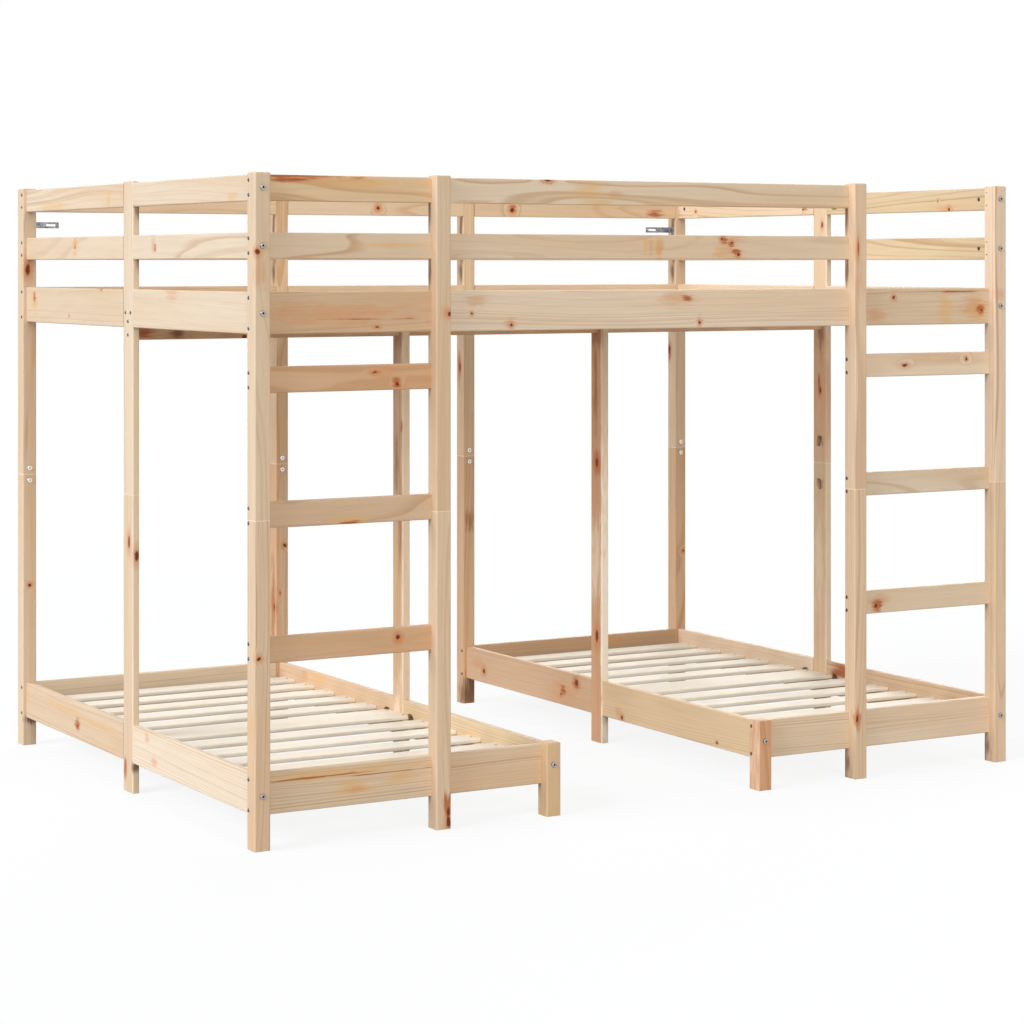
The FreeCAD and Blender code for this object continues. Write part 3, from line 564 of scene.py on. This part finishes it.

# Knots and stains that the boards show, with painted shade and painted highlights: kind, centre, radius,
# squeeze
woodMarks = {
    "post_front_left_lower": [
        ("knot", (-1.030, -0.748, 0.413), 0.0055, flat),
        ("honey", (-1.039, -0.728, 0.272), 0.0140, tallZ),
    ],
    "post_front_left_upper": [
        ("knot", (-1.033, -0.748, 1.283), 0.0070, flat),
        ("rose", (-1.029, -0.748, 1.240), 0.0140, tallZ),
    ],
    "ladder_post_left_lower": [
        ("streak", (-0.570, -0.748, 0.052), 0.0120, tallZ),
        ("knot", (-0.568, -0.748, 0.038), 0.0050, tallZ),
        ("knot", (-0.568, -0.748, 0.016), 0.0060, tallZ),
    ],
    "back_post_inner_left_upper": [
        ("shade", (-0.313, 0.723, 1.359), 0.0100, stripZ),
        ("shade", (-0.313, 0.723, 1.232), 0.0100, stripZ),
    ],
    "mid_plank_left_upper": [
        # painted light on the front face, and painted shade under the guard rails
        ("paleAndLit", (-1.0205, -0.030, 1.000), 0.0050, edgeZ),
        ("shade", (-1.008, -0.028, 1.385), 0.0150, ovalZ),
        ("shade", (-1.008, -0.028, 1.262), 0.0130, (1, 1, 0.5)),
    ],
    "ladder_post_left_upper": [
        ("shade", (-0.598, -0.713, 1.362), 0.0110, stripZ),
        ("shade", (-0.598, -0.713, 1.236), 0.0110, stripZ),
        ("knot", (-0.564, -0.748, 1.146), 0.0060, flat),
        ("rose", (-0.572, -0.748, 1.150), 0.0160, flat),
    ],
    "ladder_post_right_upper": [
        ("shade", (0.561, -0.713, 1.362), 0.0110, stripZ),
        ("shade", (0.561, -0.713, 1.236), 0.0110, stripZ),
        ("rose", (0.570, -0.748, 1.290), 0.0110, slimZ),
        ("streak", (0.572, -0.748, 1.300), 0.0036, (1, 1, 0.14)),
        ("rose", (0.572, -0.748, 1.210), 0.0090, slimZ),
    ],
    "ladder_post_right_lower": [
        ("shade", (0.561, -0.710, 0.030), 0.0170, (1, 0.9, 0.45)),
        ("knot", (0.568, -0.748, 0.147), 0.0040, tallZ),
        ("streak", (0.570, -0.748, 0.150), 0.0100, tallZ),
    ],
    "post_back_left_lower": [
        ("shade", (-1.018, 0.7065, 0.068), 0.0110, (0.6, 1, 0.8)),
        ("knot", (-1.020, 0.706, 0.418), 0.0050, flat),
    ],
    "post_back_left_upper": [
        ("knot", (-1.026, 0.706, 1.242), 0.0070, tallZ),
        ("rose", (-1.026, 0.706, 1.262), 0.0140, tallZ),
    ],
    "post_front_right_lower": [
        ("shade", (1.002, -0.710, 0.030), 0.0170, (1, 0.9, 0.45)),
    ],
    "post_front_right_upper": [
        ("rose", (1.015, -0.748, 1.181), 0.0160, flat),
    ],
    "post_back_right_upper": [
        ("shade", (1.002, 0.723, 1.359), 0.0100, stripZ),
        ("shade", (1.002, 0.723, 1.232), 0.0100, stripZ),
        ("knot", (1.002, 0.740, 1.000), 0.0070, tallZ),
        ("streak", (1.002, 0.740, 0.998), 0.0110, tallZ),
    ],
    "back_post_inner_right_upper": [
        ("shade", (0.276, 0.723, 1.359), 0.0100, stripZ),
        ("shade", (0.276, 0.723, 1.232), 0.0100, stripZ),
        ("knot", (0.276, 0.727, 0.962), 0.0060, tallZ),
        ("streak", (0.276, 0.730, 0.958), 0.0080, (1, 1, 0.16)),
    ],
    "mid_plank_left_lower": [
        # painted light on the front face, and painted shade at the foot under the rail
        ("paleAndLit", (-1.0205, -0.030, 0.400), 0.0050, edgeZ),
        ("shade", (-1.0200, -0.030, 0.064), 0.0100, (0.6, 1, 0.7)),
        ("knot", (-1.029, -0.006, 0.595), 0.0070, tallZ),
        ("knot", (-1.018, -0.030, 0.564), 0.0060, tallZ),
        ("streak", (-1.029, 0.019, 0.053), 0.0110, tallZ),
    ],
    "mid_plank_right_upper": [
        # painted light on the front face; the large rose patch and the dark band below the bunk are painted
        # shade
        ("knot", (1.012, -0.010, 1.365), 0.0040, tallZ),
        ("rose", (1.012, 0.0, 0.900), 0.1100, (1, 1, 0.55)),
        ("streak", (1.012, 0.004, 0.928), 0.0050, slimZ),
        ("knot", (1.012, -0.002, 0.908), 0.0048, tallZ),
        ("umberAndShade", (1.012, -0.005, 1.060), 0.0140, (1, 1, 0.3)),
        ("paleAndLit", (1.0205, -0.030, 0.900), 0.0050, edgeZ),
    ],
    "mid_plank_right_lower": [
        # painted light on the front face
        ("paleAndLit", (1.0205, -0.030, 0.400), 0.0060, edgeZ),
        ("paleAndLit", (1.012, 0.005, 0.440), 0.0200, (1, 1, 0.15)),
    ],
    "back_post_inner_left_lower": [
        ("knot", (-0.287, 0.7065, 0.483), 0.0055, flat),
        ("knot", (-0.313, 0.719, 0.313), 0.0050, tallZ),
        ("streak", (-0.313, 0.719, 0.322), 0.0110, (1, 1, 0.3)),
        ("knot", (-0.301, 0.7065, 0.352), 0.0022, tallZ),
        ("rose", (-0.313, 0.727, 0.350), 0.0140, (1, 0.3, 0.02)),
        ("umberAndShade", (-0.313, 0.726, 0.330), 0.0056, (1, 0.5, 0.04)),
    ],
    "back_post_inner_right_lower": [
        ("umberAndShade", (0.296, 0.7065, 0.524), 0.0100, (0.7, 1, 0.3)),
        ("shade", (0.296, 0.7065, 0.030), 0.0300, (0.8, 1, 0.6)),
    ],
    "post_back_right_lower": [
        ("knot", (1.030, 0.7065, 0.396), 0.0045, flat),
    ],
    "short_leg_right": [
        ("paleAndLit", (0.268, -0.727, 0.084), 0.0080, (1, 0.1, 0.02)),
    ],
    "inner_support_left": [
        # painted light on the front face, and painted shade at the top under the bunk
        ("paleAndLit", (-0.294, -0.027, 0.600), 0.0060, edgeZ),
        ("paleAndLit", (-0.305, 0.000, 0.080), 0.0500, (1, 1, 0.4)),
        ("umberAndShade", (-0.305, 0.003, 1.080), 0.0120, (1, 0.5, 0.2)),
        ("umberAndShade", (-0.305, 0.006, 0.750), 0.0060, (1, 0.6, 0.06)),
        ("umberAndShade", (-0.305, -0.014, 0.600), 0.0060, (1, 0.6, 0.05)),
        ("streak", (-0.305, -0.021, 0.848), 0.0050, (1, 1, 0.3)),
    ],
    "inner_support_right": [
        # painted light on the front face, painted shade at the foot, and painted shade at the top under the
        # bunk
        ("paleAndLit", (0.294, -0.027, 0.550), 0.0070, (0.05, 1, 0.003)),
        ("shade", (0.296, -0.027, 0.064), 0.0100, (0.6, 1, 0.7)),
        ("paleAndLit", (0.284, 0.004, 0.480), 0.0300, (1, 1, 0.3)),
        ("glint", (0.294, -0.027, 0.300), 0.0050, (0.05, 1, 0.012)),
        ("umberAndShade", (0.284, 0.004, 0.930), 0.0050, (1, 0.6, 0.04)),
        ("knot", (0.284, -0.002, 0.735), 0.0080, ovalZ),
        ("knot", (0.284, -0.003, 0.279), 0.0080, tallZ),
        ("streak", (0.284, -0.003, 0.732), 0.0170, (1, 1, 0.5)),
        ("umberAndShade", (0.284, -0.004, 1.070), 0.0300, flat),
    ],
    "front_guard_rails": [
        ("streak", (-0.950, -0.724, 1.440), 0.0064, (0.13, 1, 1)),
        ("streak", (-0.940, -0.724, 1.447), 0.0050, (0.04, 1, 1)),
        ("rose", (-0.880, -0.724, 1.444), 0.0100, (0.07, 1, 1)),
        ("honey", (-0.780, -0.724, 1.436), 0.0120, (0.08, 1, 1)),
        ("honey", (-0.700, -0.724, 1.300), 0.0060, (0.06, 1, 1)),
        ("honey", (-0.030, -0.724, 1.300), 0.0110, tallZ),
        ("honey", (0.004, -0.724, 1.292), 0.0150, tallZ),
        ("rose", (-0.016, -0.724, 1.297), 0.0080, (1, 1, 0.35)),
        ("rose", (0.008, -0.724, 1.290), 0.0100, (1, 1, 0.45)),
        ("rose", (0.206, -0.724, 1.300), 0.0380, flat),
        ("streak", (0.212, -0.724, 1.303), 0.0100, flat),
        ("honey", (0.175, -0.724, 1.283), 0.0160, flat),
        ("streak", (0.192, -0.724, 1.314), 0.0105, flat),
        ("streak", (0.226, -0.724, 1.288), 0.0105, flat),
        ("knot", (0.185, -0.724, 1.316), 0.0045, flat),
        ("knot", (0.214, -0.724, 1.307), 0.0030, flat),
        ("knot", (0.233, -0.724, 1.280), 0.0045, flat),
        ("knot", (-0.296, -0.724, 1.450), 0.0050, longX),
        ("honey", (-0.183, -0.724, 1.428), 0.0220, longX),
        ("honey", (-0.160, -0.724, 1.400), 0.0120, (0.2, 1, 1)),
        ("rose", (-0.470, -0.724, 1.397), 0.0040, (0.08, 1, 1)),
        ("rose", (-0.115, -0.724, 1.419), 0.0100, longX),
    ],
    "front_bunk_rails": [
        ("knot", (-0.495, -0.724, 1.146), 0.0030, flat),
        ("rose", (-0.396, -0.724, 1.126), 0.0150, flat),
        ("knot", (-0.393, -0.724, 1.119), 0.0040, flat),
        ("rose", (-0.479, -0.724, 1.176), 0.0140, longX),
        ("streak", (0.086, -0.724, 1.176), 0.0060, longX),
        ("rose", (0.122, -0.724, 1.127), 0.0130, flat),
        ("knot", (0.121, -0.724, 1.118), 0.0040, flat),
        ("knot", (-0.734, -0.724, 1.118), 0.0026, longX),
        ("knot", (0.700, -0.724, 1.175), 0.0050, flat),
        ("streak", (0.976, -0.724, 1.142), 0.0120, flat),
        ("knot", (0.979, -0.724, 1.140), 0.0040, flat),
        ("rose", (0.966, -0.724, 1.150), 0.0160, longX),
        ("honey", (0.966, -0.724, 1.148), 0.0300, flat),
        ("rose", (0.955, -0.724, 1.150), 0.0420, flat),
        ("streak", (0.900, -0.724, 1.188), 0.0024, (0.03, 1, 1)),
        ("honey", (0.860, -0.724, 1.135), 0.0240, tallZ),
        ("rose", (0.644, -0.724, 1.130), 0.0220, (0.7, 1, 1)),
        ("rose", (-0.850, -0.724, 1.150), 0.0260, (0.12, 1, 1)),
        ("streak", (-0.760, -0.724, 1.136), 0.0017, (0.016, 1, 1)),
        ("rose", (0.060, -0.724, 1.176), 0.0160, (0.3, 1, 1)),
    ],
    "bed_front_rails": [
        ("honey", (-0.795, -0.724, 0.110), 0.0200, longX),
        ("honey", (-0.677, -0.724, 0.122), 0.0180, longX),
        ("streak", (-0.900, -0.724, 0.142), 0.0019, (0.016, 1, 1)),
        ("streak", (-0.700, -0.724, 0.136), 0.0014, (0.012, 1, 1)),
        ("honey", (-0.830, -0.724, 0.146), 0.0120, (0.05, 1, 1)),
        ("rose", (-0.790, -0.724, 0.104), 0.0090, (0.4, 1, 1)),
    ],
    "ladder_rungs_left": [
        ("knot", (-0.684, -0.724, 0.992), 0.0055, flat),
        ("streak", (-0.686, -0.724, 0.995), 0.0120, flat),
        ("rose", (-0.714, -0.724, 1.014), 0.0160, longX),
        ("knot", (-0.739, -0.724, 1.019), 0.0035, longX),
        ("knot", (-0.682, -0.724, 0.432), 0.0065, flat),
        ("rose", (-0.682, -0.724, 0.421), 0.0160, flat),
        ("honey", (-0.800, -0.724, 0.692), 0.0150, (0.35, 1, 1)),
        ("streak", (-0.800, -0.724, 0.689), 0.0060, (0.25, 1, 1)),
    ],
    "ladder_rungs_right": [
        ("knot", (0.929, -0.724, 1.019), 0.0045, flat),
        ("knot", (0.735, -0.724, 1.007), 0.0040, longX),
        ("knot", (0.644, -0.724, 0.415), 0.0060, flat),
        ("streak", (0.650, -0.724, 0.416), 0.0130, flat),
        ("rose", (0.657, -0.724, 0.429), 0.0140, longX),
    ],
    "end_guard_rails": [
        ("honey", (-1.029, 0.520, 1.403), 0.0120, (1, 0.12, 1)),
        ("honey", (-1.029, 0.129, 1.410), 0.0130, ovalZ),
        ("honey", (-1.029, -0.606, 1.401), 0.0120, longY),
        ("streak", (-1.029, 0.353, 1.298), 0.0055, flat),
        ("honey", (-1.029, 0.353, 1.302), 0.0200, flat),
        ("rose", (-1.029, 0.353, 1.310), 0.0120, tallZ),
        ("rose", (-1.029, -0.159, 1.304), 0.0140, ovalZ),
        ("streak", (-1.029, -0.168, 1.294), 0.0050, (1, 1, 0.5)),
        ("knot", (1.012, -0.556, 1.399), 0.0048, flat),
        ("rose", (1.012, -0.540, 1.397), 0.0160, longY),
        ("knot", (1.012, -0.510, 1.421), 0.0025, flat),
        ("knot", (1.012, 0.613, 1.412), 0.0040, flat),
        ("knot", (1.012, 0.078, 1.411), 0.0040, flat),
    ],
    "end_bunk_rails": [
        ("streak", (-1.029, 0.647, 1.171), 0.0090, ovalZ),
        ("honey", (-1.029, 0.647, 1.166), 0.0260, (1, 1, 0.7)),
        ("rose", (-1.029, -0.269, 1.190), 0.0160, longY),
        ("knot", (-1.029, 0.395, 1.127), 0.0030, flat),
        ("knot", (-1.029, 0.175, 1.196), 0.0030, longY),
    ],
    "back_guard_rails": [
        ("knot", (0.002, 0.706, 1.414), 0.0060, flat),
        ("rose", (0.002, 0.706, 1.414), 0.0200, flat),
        ("knot", (0.436, 0.706, 1.413), 0.0080, flat),
        ("streak", (0.440, 0.706, 1.417), 0.0120, flat),
        ("streak", (0.929, 0.706, 1.406), 0.0120, longX),
    ],
    "left_bed_outer_rails": [
        ("knot", (-1.029, 0.335, 0.106), 0.0060, flat),
        ("streak", (-1.029, 0.335, 0.108), 0.0160, flat),
        ("honey", (-1.029, 0.440, 0.136), 0.0070, (1, 0.05, 1)),
        ("honey", (-1.029, 0.180, 0.128), 0.0070, (1, 0.06, 1)),
        ("rose", (-1.029, -0.162, 0.097), 0.0160, flat),
        ("rose", (-1.029, -0.119, 0.146), 0.0120, flat),
    ],
    "left_bed_inner_rails": [
        ("rose", (-0.303, 0.543, 0.149), 0.0180, flat),
        ("honey", (-0.303, 0.463, 0.151), 0.0180, longY),
        ("honey", (-0.303, -0.371, 0.116), 0.0200, longY),
    ],
    "right_bed_inner_rails": [
        ("knot", (0.286, 0.605, 0.106), 0.0080, flat),
        ("rose", (0.286, 0.639, 0.121), 0.0160, longY),
        ("knot", (0.286, 0.103, 0.141), 0.0100, flat),
        ("streak", (0.286, 0.108, 0.138), 0.0150, flat),
        ("streak", (0.286, 0.173, 0.112), 0.0150, flat),
        ("rose", (0.286, 0.173, 0.108), 0.0340, longY),
        ("knot", (0.286, 0.183, 0.100), 0.0040, flat),
        ("knot", (0.286, -0.123, 0.082), 0.0060, flat),
        ("rose", (0.286, -0.103, 0.094), 0.0160, flat),
        ("knot", (0.286, -0.555, 0.084), 0.0040, flat),
    ],
    "right_bed_outer_rails": [
        ("streak", (1.012, -0.096, 0.141), 0.0220, longY),
    ],
    "bed_back_rails": [
        ("rose", (0.778, 0.706, 0.146), 0.0160, longX),
    ],
    "beam_webs": [
        ("knot", (-0.731, -0.008, 1.080), 0.0060, flat),
        ("streak", (-0.994, -0.008, 1.090), 0.0110, longX),
        ("shade", (-0.905, -0.008, 1.092), 0.0160, flat),
    ],
}

# One row for each wooden node: grain axis, start and pitch of its board cells, and the last cell each way
woodRows = {
    "front_guard_rails": ("X", (-0.580, 0, 1.160), (1.2, wide, 0.2), endless),
    "front_bunk_rails": ("X", (-0.580, 0, 0), (1.159, wide, wide), endless),
    "bed_front_rails": ("X", (-0.580, 0, 0), (0.5795, wide, wide), endless),
    "ladder_rungs_left": ("X", (0, 0, 0.280), (wide, wide, 0.291), endless),
    "ladder_rungs_right": ("X", (0, 0, 0.280), (wide, wide, 0.291), endless),
    "back_guard_rails": ("X", (-0.2945, 0, 1.160), (0.589, wide, 0.2), 1),
    "back_bunk_rails": ("X", (-0.2945, 0, 0), (0.589, wide, wide), 1),
    "bed_back_rails": ("X", (0, 0, 0), (2, wide, wide), endless),
    "end_bunk_rails": ("Y", (0, 0, 0), (3, 2, wide), endless),
    "end_guard_rails": ("Y", (0, 0, 1.160), (3, 2, 0.2), endless),
    "left_bed_outer_rails": ("Y", (0, 0, 0), (wide, 2, wide), endless),
    "left_bed_inner_rails": ("Y", (0, 0, 0), (wide, 2, wide), endless),
    "right_bed_inner_rails": ("Y", (0, 0, 0), (wide, 2, wide), endless),
    "right_bed_outer_rails": ("Y", (0, 0, 0), (wide, 2, wide), endless),
    "beam_webs": ("X", (-0.2945, -wide / 2, 0), (0.589, wide, wide), 1),
    "beam_caps": ("X", (-0.2945, -wide / 2, 0), (0.589, wide, wide), 1),
    "bunk_ledges": ("X", (-0.2945, 0, 0), (0.589, 3, wide), 1),
    "bed_ledges": ("Y", (0, 0, 0), (0.65, 2, wide), endless),
}
halved = [
    "post_front_left", "post_front_right", "ladder_post_left", "ladder_post_right",
    "post_back_left", "post_back_right", "back_post_inner_left", "back_post_inner_right",
    "mid_plank_left", "mid_plank_right",
]
uprights = ["short_leg_left", "short_leg_right", "inner_support_left", "inner_support_right"]
uprights += [upright + half for upright in halved for half in ("_lower", "_upper")]

# Painted highlight: the pale line at the top of each lower half, where the upper one stands on it
seamHighlight = {
    "radius": 0.0017,
    "squeeze": (0.01, 0.01, 1),
}
for upright in uprights:
    # one cell, centred on the piece
    low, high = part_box(upright)
    centre = [(low[i] + high[i]) / 2 for i in range(3)]
    woodRows[upright] = ("Z", [part - wide / 2 for part in centre], (wide, wide, wide), endless)
    if upright.endswith("_lower"):
        seam = ("glint", (centre[0], centre[1], high[2]), seamHighlight["radius"], seamHighlight["squeeze"])
        woodMarks[upright] = woodMarks.get(upright, []) + [seam]

# Tones of single boards, by cell
boardTones = {
    "front_guard_rails": {
        (-1, -1, 1): "golden", (0, -1, 1): "cream",
        (-1, -1, 0): "pale", (0, -1, 0): "cream",
    },
    "front_bunk_rails": {(-1, -1, 0): "tan", (0, -1, 0): "chalk", (1, -1, 0): "pale"},
    "bed_front_rails": {(-1, -1, 0): "pale", (1, -1, 0): "cream", (2, -1, 0): "chalk"},
    "ladder_rungs_left": {(-1, -1, 2): "ruddy", (-1, -1, 1): "tan", (-1, -1, 0): "ruddy"},
    "ladder_rungs_right": {(0, -1, 2): "chalk", (0, -1, 1): "cream", (0, -1, 0): "pale"},
    "end_guard_rails": {
        (-1, 0, 1): "cream", (-1, -1, 1): "cream", (-1, 0, 0): "cream", (-1, -1, 0): "cream",
        (0, -1, 1): "straw", (0, -1, 0): "straw", (0, 0, 1): "pale",
    },
    "end_bunk_rails": {(-1, 0, 0): "pale", (-1, -1, 0): "cream"},
    "left_bed_outer_rails": {(-1, -1, 0): "chalk"},
    "left_bed_inner_rails": {(-1, 0, 0): "tan", (-1, -1, 0): "straw"},
    "right_bed_inner_rails": {(0, 0, 0): "ruddy", (0, -1, 0): "golden"},
    "right_bed_outer_rails": {(0, 0, 0): "chalk", (0, -1, 0): "tan"},
    "bed_back_rails": {(-1, 0, 0): "cream", (0, 0, 0): "dusky"},
    "back_guard_rails": {(0, 0, 1): "cream"},
    # the beam webs' darker tones are partly painted shade under the bunk deck
    "beam_webs": {(-1, 0, 0): "brown", (0, 0, 0): "ruddy", (1, 0, 0): "ruddy"},
}
uprightTones = {
    "post_front_left_upper": "pale",
    "ladder_post_left_upper": "pale",
    "ladder_post_right_upper": "fair",
    "post_front_right_upper": "fair",
    "short_leg_left": "golden",
    "short_leg_right": "rust",
    "post_back_left_upper": "pale",
    "post_back_left_lower": "pale",
    "back_post_inner_left_lower": "tan",
    "back_post_inner_right_lower": "ruddy",
    "post_back_right_lower": "ruddy",
    "mid_plank_left_upper": "cream",
    "mid_plank_left_lower": "pale",
    "mid_plank_right_upper": "pale",
    "inner_support_left": "brown",
    "inner_support_right": "rust",
}
for upright, tone in uprightTones.items():
    # an upright is one board, so its only cell
    boardTones[upright] = {(0, 0, 0): tone}

# Each node's own lot of chance numbers, so that no two nodes share a board
lots = {
    "pineStep": 7.31,
    "slatFrom": 3.7,
    "slatStep": 5.9,
}
print("dressing the frame boards in pine")
for count, (nodeName, row) in enumerate(woodRows.items()):
    dress(nodeName, pineMaterial("pine_" + nodeName, pineLook, row, count * lots["pineStep"],
                                 woodMarks.get(nodeName, ()), boardTones.get(nodeName)))

slatRows = {
    "bunk_slats": ("Y", (0.065, 0, 0), (0.13, wide, wide), endless),
    "left_bed_slats": ("X", (0, 0.06075, 0), (wide, 0.1215, wide), endless),
    "right_bed_slats": ("X", (0, 0.06075, 0), (wide, 0.1215, wide), endless),
    "centre_slats": ("X", (0, 0, 0), (2, wide, wide), endless),
    "dowels": ("Z", (0, 0, 0), (0.1, 0.1, 0.1), endless),
}
for count, (nodeName, row) in enumerate(slatRows.items()):
    lot = lots["slatFrom"] + count * lots["slatStep"]
    dress(nodeName, pineMaterial("slat_" + nodeName, slatLook, row, lot))
print("slats and dowels done")

# Metal: dull zinc on rods and nuts, bright bolts at the seams, dark screws, and galvanised wall brackets. A
# head gets painted shade by depth from its face, which is given in metres from the bed's middle plane: way is
# -1 for heads that face outwards and 1 for those that face inwards
metals = {
    "zinc_steel": {
        "nodes": ["double_screws", "tie_rods", "tie_rod_nuts", "joining_pins"],
        "light": (0.56, 0.53, 0.48, 1.0),
        "dark": (0.26, 0.25, 0.23, 1.0),
        "roughness": 0.30,
    },
    "bolt_steel": {
        "nodes": ["frame_bolts"],
        "light": (0.56, 0.53, 0.48, 1.0),
        "dark": (0.26, 0.25, 0.23, 1.0),
        "roughness": 0.30,
        "head": {"face": 0.751, "way": -1, "shaded": (0.0006, 0.0022), "recessShade": (0.035, 0.033, 0.030, 1.0)},
    },
    "seam_steel": {
        "nodes": ["seam_bolts"],
        "light": (0.95, 0.93, 0.89, 1.0),
        "dark": (0.70, 0.68, 0.64, 1.0),
        "roughness": 0.30,
        "head": {"face": 0.703, "way": 1, "shaded": (0.0002, 0.0010), "recessShade": (0.42, 0.40, 0.37, 1.0)},
    },
    "screw_steel": {
        "nodes": ["rail_screws", "barrel_nuts", "slat_screws", "ledge_screws", "bracket_screws"],
        "light": (0.14, 0.13, 0.12, 1.0),
        "dark": (0.05, 0.05, 0.05, 1.0),
        "roughness": 0.30,
    },
    "galvanised_sheet": {
        "nodes": ["wall_brackets"],
        "light": (0.44, 0.45, 0.48, 1.0),
        "dark": (0.13, 0.14, 0.17, 1.0),
        "roughness": 0.38,
        "spangleScale": 160.0,
    },
}
metalSurface = {
    "cloudScale": 220.0,
    "cloudDetail": 3.0,
    "cloudGrit": 0.6,
    "smudgeScale": 40.0,
    "smudgeDull": 0.12,
    "gritScale": 900.0,
    "bumpStrength": 0.12,
    "bumpDepth": 0.0002,
}


def metalMaterial(name, look):
    surface = metalSurface
    material = bpy.data.materials.new(name)
    material.use_nodes = True
    tree = material.node_tree
    shader = tree.nodes["Principled BSDF"]
    shader.inputs["Metallic"].default_value = 1.0
    place = addNode(tree, "ShaderNodeTexCoord").outputs["Object"]
    if "spangleScale" in look:
        cells = addNode(tree, "ShaderNodeTexVoronoi", feature="F1")
        feed(tree, cells.inputs["Vector"], place)
        feed(tree, cells.inputs["Scale"], look["spangleScale"])
        tones = addNode(tree, "ShaderNodeSeparateColor")
        tree.links.new(cells.outputs["Color"], tones.inputs[0])
        share = tones.outputs[0]
    else:
        share = noise(tree, place, surface["cloudScale"], surface["cloudDetail"], surface["cloudGrit"])
    tint = blendColour(tree, share, look["light"], look["dark"])
    if "head" in look:
        # painted shade: the socket and the bottom edge of each head are darkened by depth
        head = look["head"]
        depth = calc(tree, "SUBTRACT", calc(tree, "ABSOLUTE", parted(tree, place)[1]), head["face"])
        depth = calc(tree, "MULTIPLY", depth, head["way"])
        tint = blendColour(tree, spread(tree, depth, *head["shaded"]), tint, head["recessShade"])
    tree.links.new(tint, shader.inputs["Base Color"])
    smudge = useGroup(tree, handling, Position=place, Scale=surface["smudgeScale"]).outputs["Smudge"]
    dull = calc(tree, "MULTIPLY_ADD", smudge, surface["smudgeDull"], look["roughness"])
    tree.links.new(dull, shader.inputs["Roughness"])
    grit = noise(tree, place, surface["gritScale"])
    addBump(tree, shader, grit, surface["bumpStrength"], surface["bumpDepth"])
    return material


for metalName, metalLook in metals.items():
    material = metalMaterial(metalName, metalLook)
    for nodeName in metalLook["nodes"]:
        dress(nodeName, material)
print("metal done")

# Floor, light and camera
studio = {
    "floorSize": 60.0,
    "floorDrop": 0.0005,      # metres under the feet
    "floorWhite": 0.85,       # share of plain white that the camera sees in the floor
    "floorSeen": (0.95, 0.95, 0.95, 1.0),
    "floorBounce": (0.40, 0.39, 0.38, 1.0),
    "skyLevel": 0.34,
    "lampsAway": 4,
    "lamps": {
        # where the light comes from, strength, degrees across for soft shadows, colour
        "key_from_left": ((-0.88, -0.06, 0.47), 2.95, 40.0, (0.95, 1.02, 1.14)),
        "fill_from_front": ((-0.12, -0.95, 0.30), 1.33, 30.0, (1.0, 1.0, 1.0)),
        "fill_from_behind": ((0.65, 0.65, 0.40), 1.40, 40.0, (1.0, 1.0, 1.0)),
    },
}


def clearView(tree):
    # one for the rays that see the backdrop: the camera's, mirrored ones and those through glass
    rays = addNode(tree, "ShaderNodeLightPath")
    seen = [rays.outputs[kind] for kind in ("Is Camera Ray", "Is Glossy Ray", "Is Transmission Ray")]
    return gathered(tree, "MAXIMUM", seen)


bpy.ops.object.select_all(action="DESELECT")
bpy.ops.mesh.primitive_plane_add(size=studio["floorSize"], location=(0, 0, -studio["floorDrop"]))
floor = bpy.context.object
floor.name = "studio_floor"
bpy.ops.object.transform_apply(location=True, rotation=True, scale=True)
floorMaterial = bpy.data.materials.new("white_floor")
floorMaterial.use_nodes = True
tree = floorMaterial.node_tree
tree.nodes.clear()
output = addNode(tree, "ShaderNodeOutputMaterial")
matt = addNode(tree, "ShaderNodeBsdfDiffuse")
white = addNode(tree, "ShaderNodeEmission")
mixer = addNode(tree, "ShaderNodeMixShader")
seen = clearView(tree)
feed(tree, matt.inputs["Color"], blendColour(tree, seen, studio["floorBounce"], studio["floorSeen"]))
feed(tree, mixer.inputs[0], calc(tree, "MULTIPLY", seen, studio["floorWhite"]))
tree.links.new(matt.outputs[0], mixer.inputs[1])
tree.links.new(white.outputs[0], mixer.inputs[2])
tree.links.new(mixer.outputs[0], output.inputs["Surface"])
floor.data.materials.append(floorMaterial)

scene = bpy.context.scene
world = bpy.data.worlds.new("studio_sky")
scene.world = world
world.use_nodes = True
tree = world.node_tree
sky = tree.nodes["Background"]
sky.inputs["Color"].default_value = (1, 1, 1, 1)
feed(tree, sky.inputs["Strength"], spread(tree, clearView(tree), 0.0, 1.0, studio["skyLevel"], 1.0, False))

for lampName, (comesFrom, strength, soft, tint) in studio["lamps"].items():
    bpy.ops.object.light_add(type="SUN", location=[studio["lampsAway"] * part for part in comesFrom])
    lamp = bpy.context.object
    lamp.name = lampName
    lamp.data.energy = strength
    lamp.data.angle = math.radians(soft)
    lamp.data.color = tint
    x, y, z = comesFrom
    lamp.rotation_euler = (0, math.atan2(math.hypot(x, y), z), math.atan2(y, x))

# The photograph's view: level, from the left of the front
cameraView = {
    "place": (-3.3923, -5.9130, 1.2564),
    "turn": -30.044,
    "lens": 93.01,
    "sensor": 36,
    "shiftY": -0.2419,
    "seesTo": 200,
}
bpy.ops.object.camera_add(location=cameraView["place"])
camera = bpy.context.object
camera.rotation_euler = (math.radians(90), 0, math.radians(cameraView["turn"]))
camera.data.lens = cameraView["lens"]
camera.data.sensor_width = cameraView["sensor"]
camera.data.shift_y = cameraView["shiftY"]
camera.data.clip_end = cameraView["seesTo"]
scene.camera = camera
scene.view_settings.view_transform = "Standard"
print("studio done")
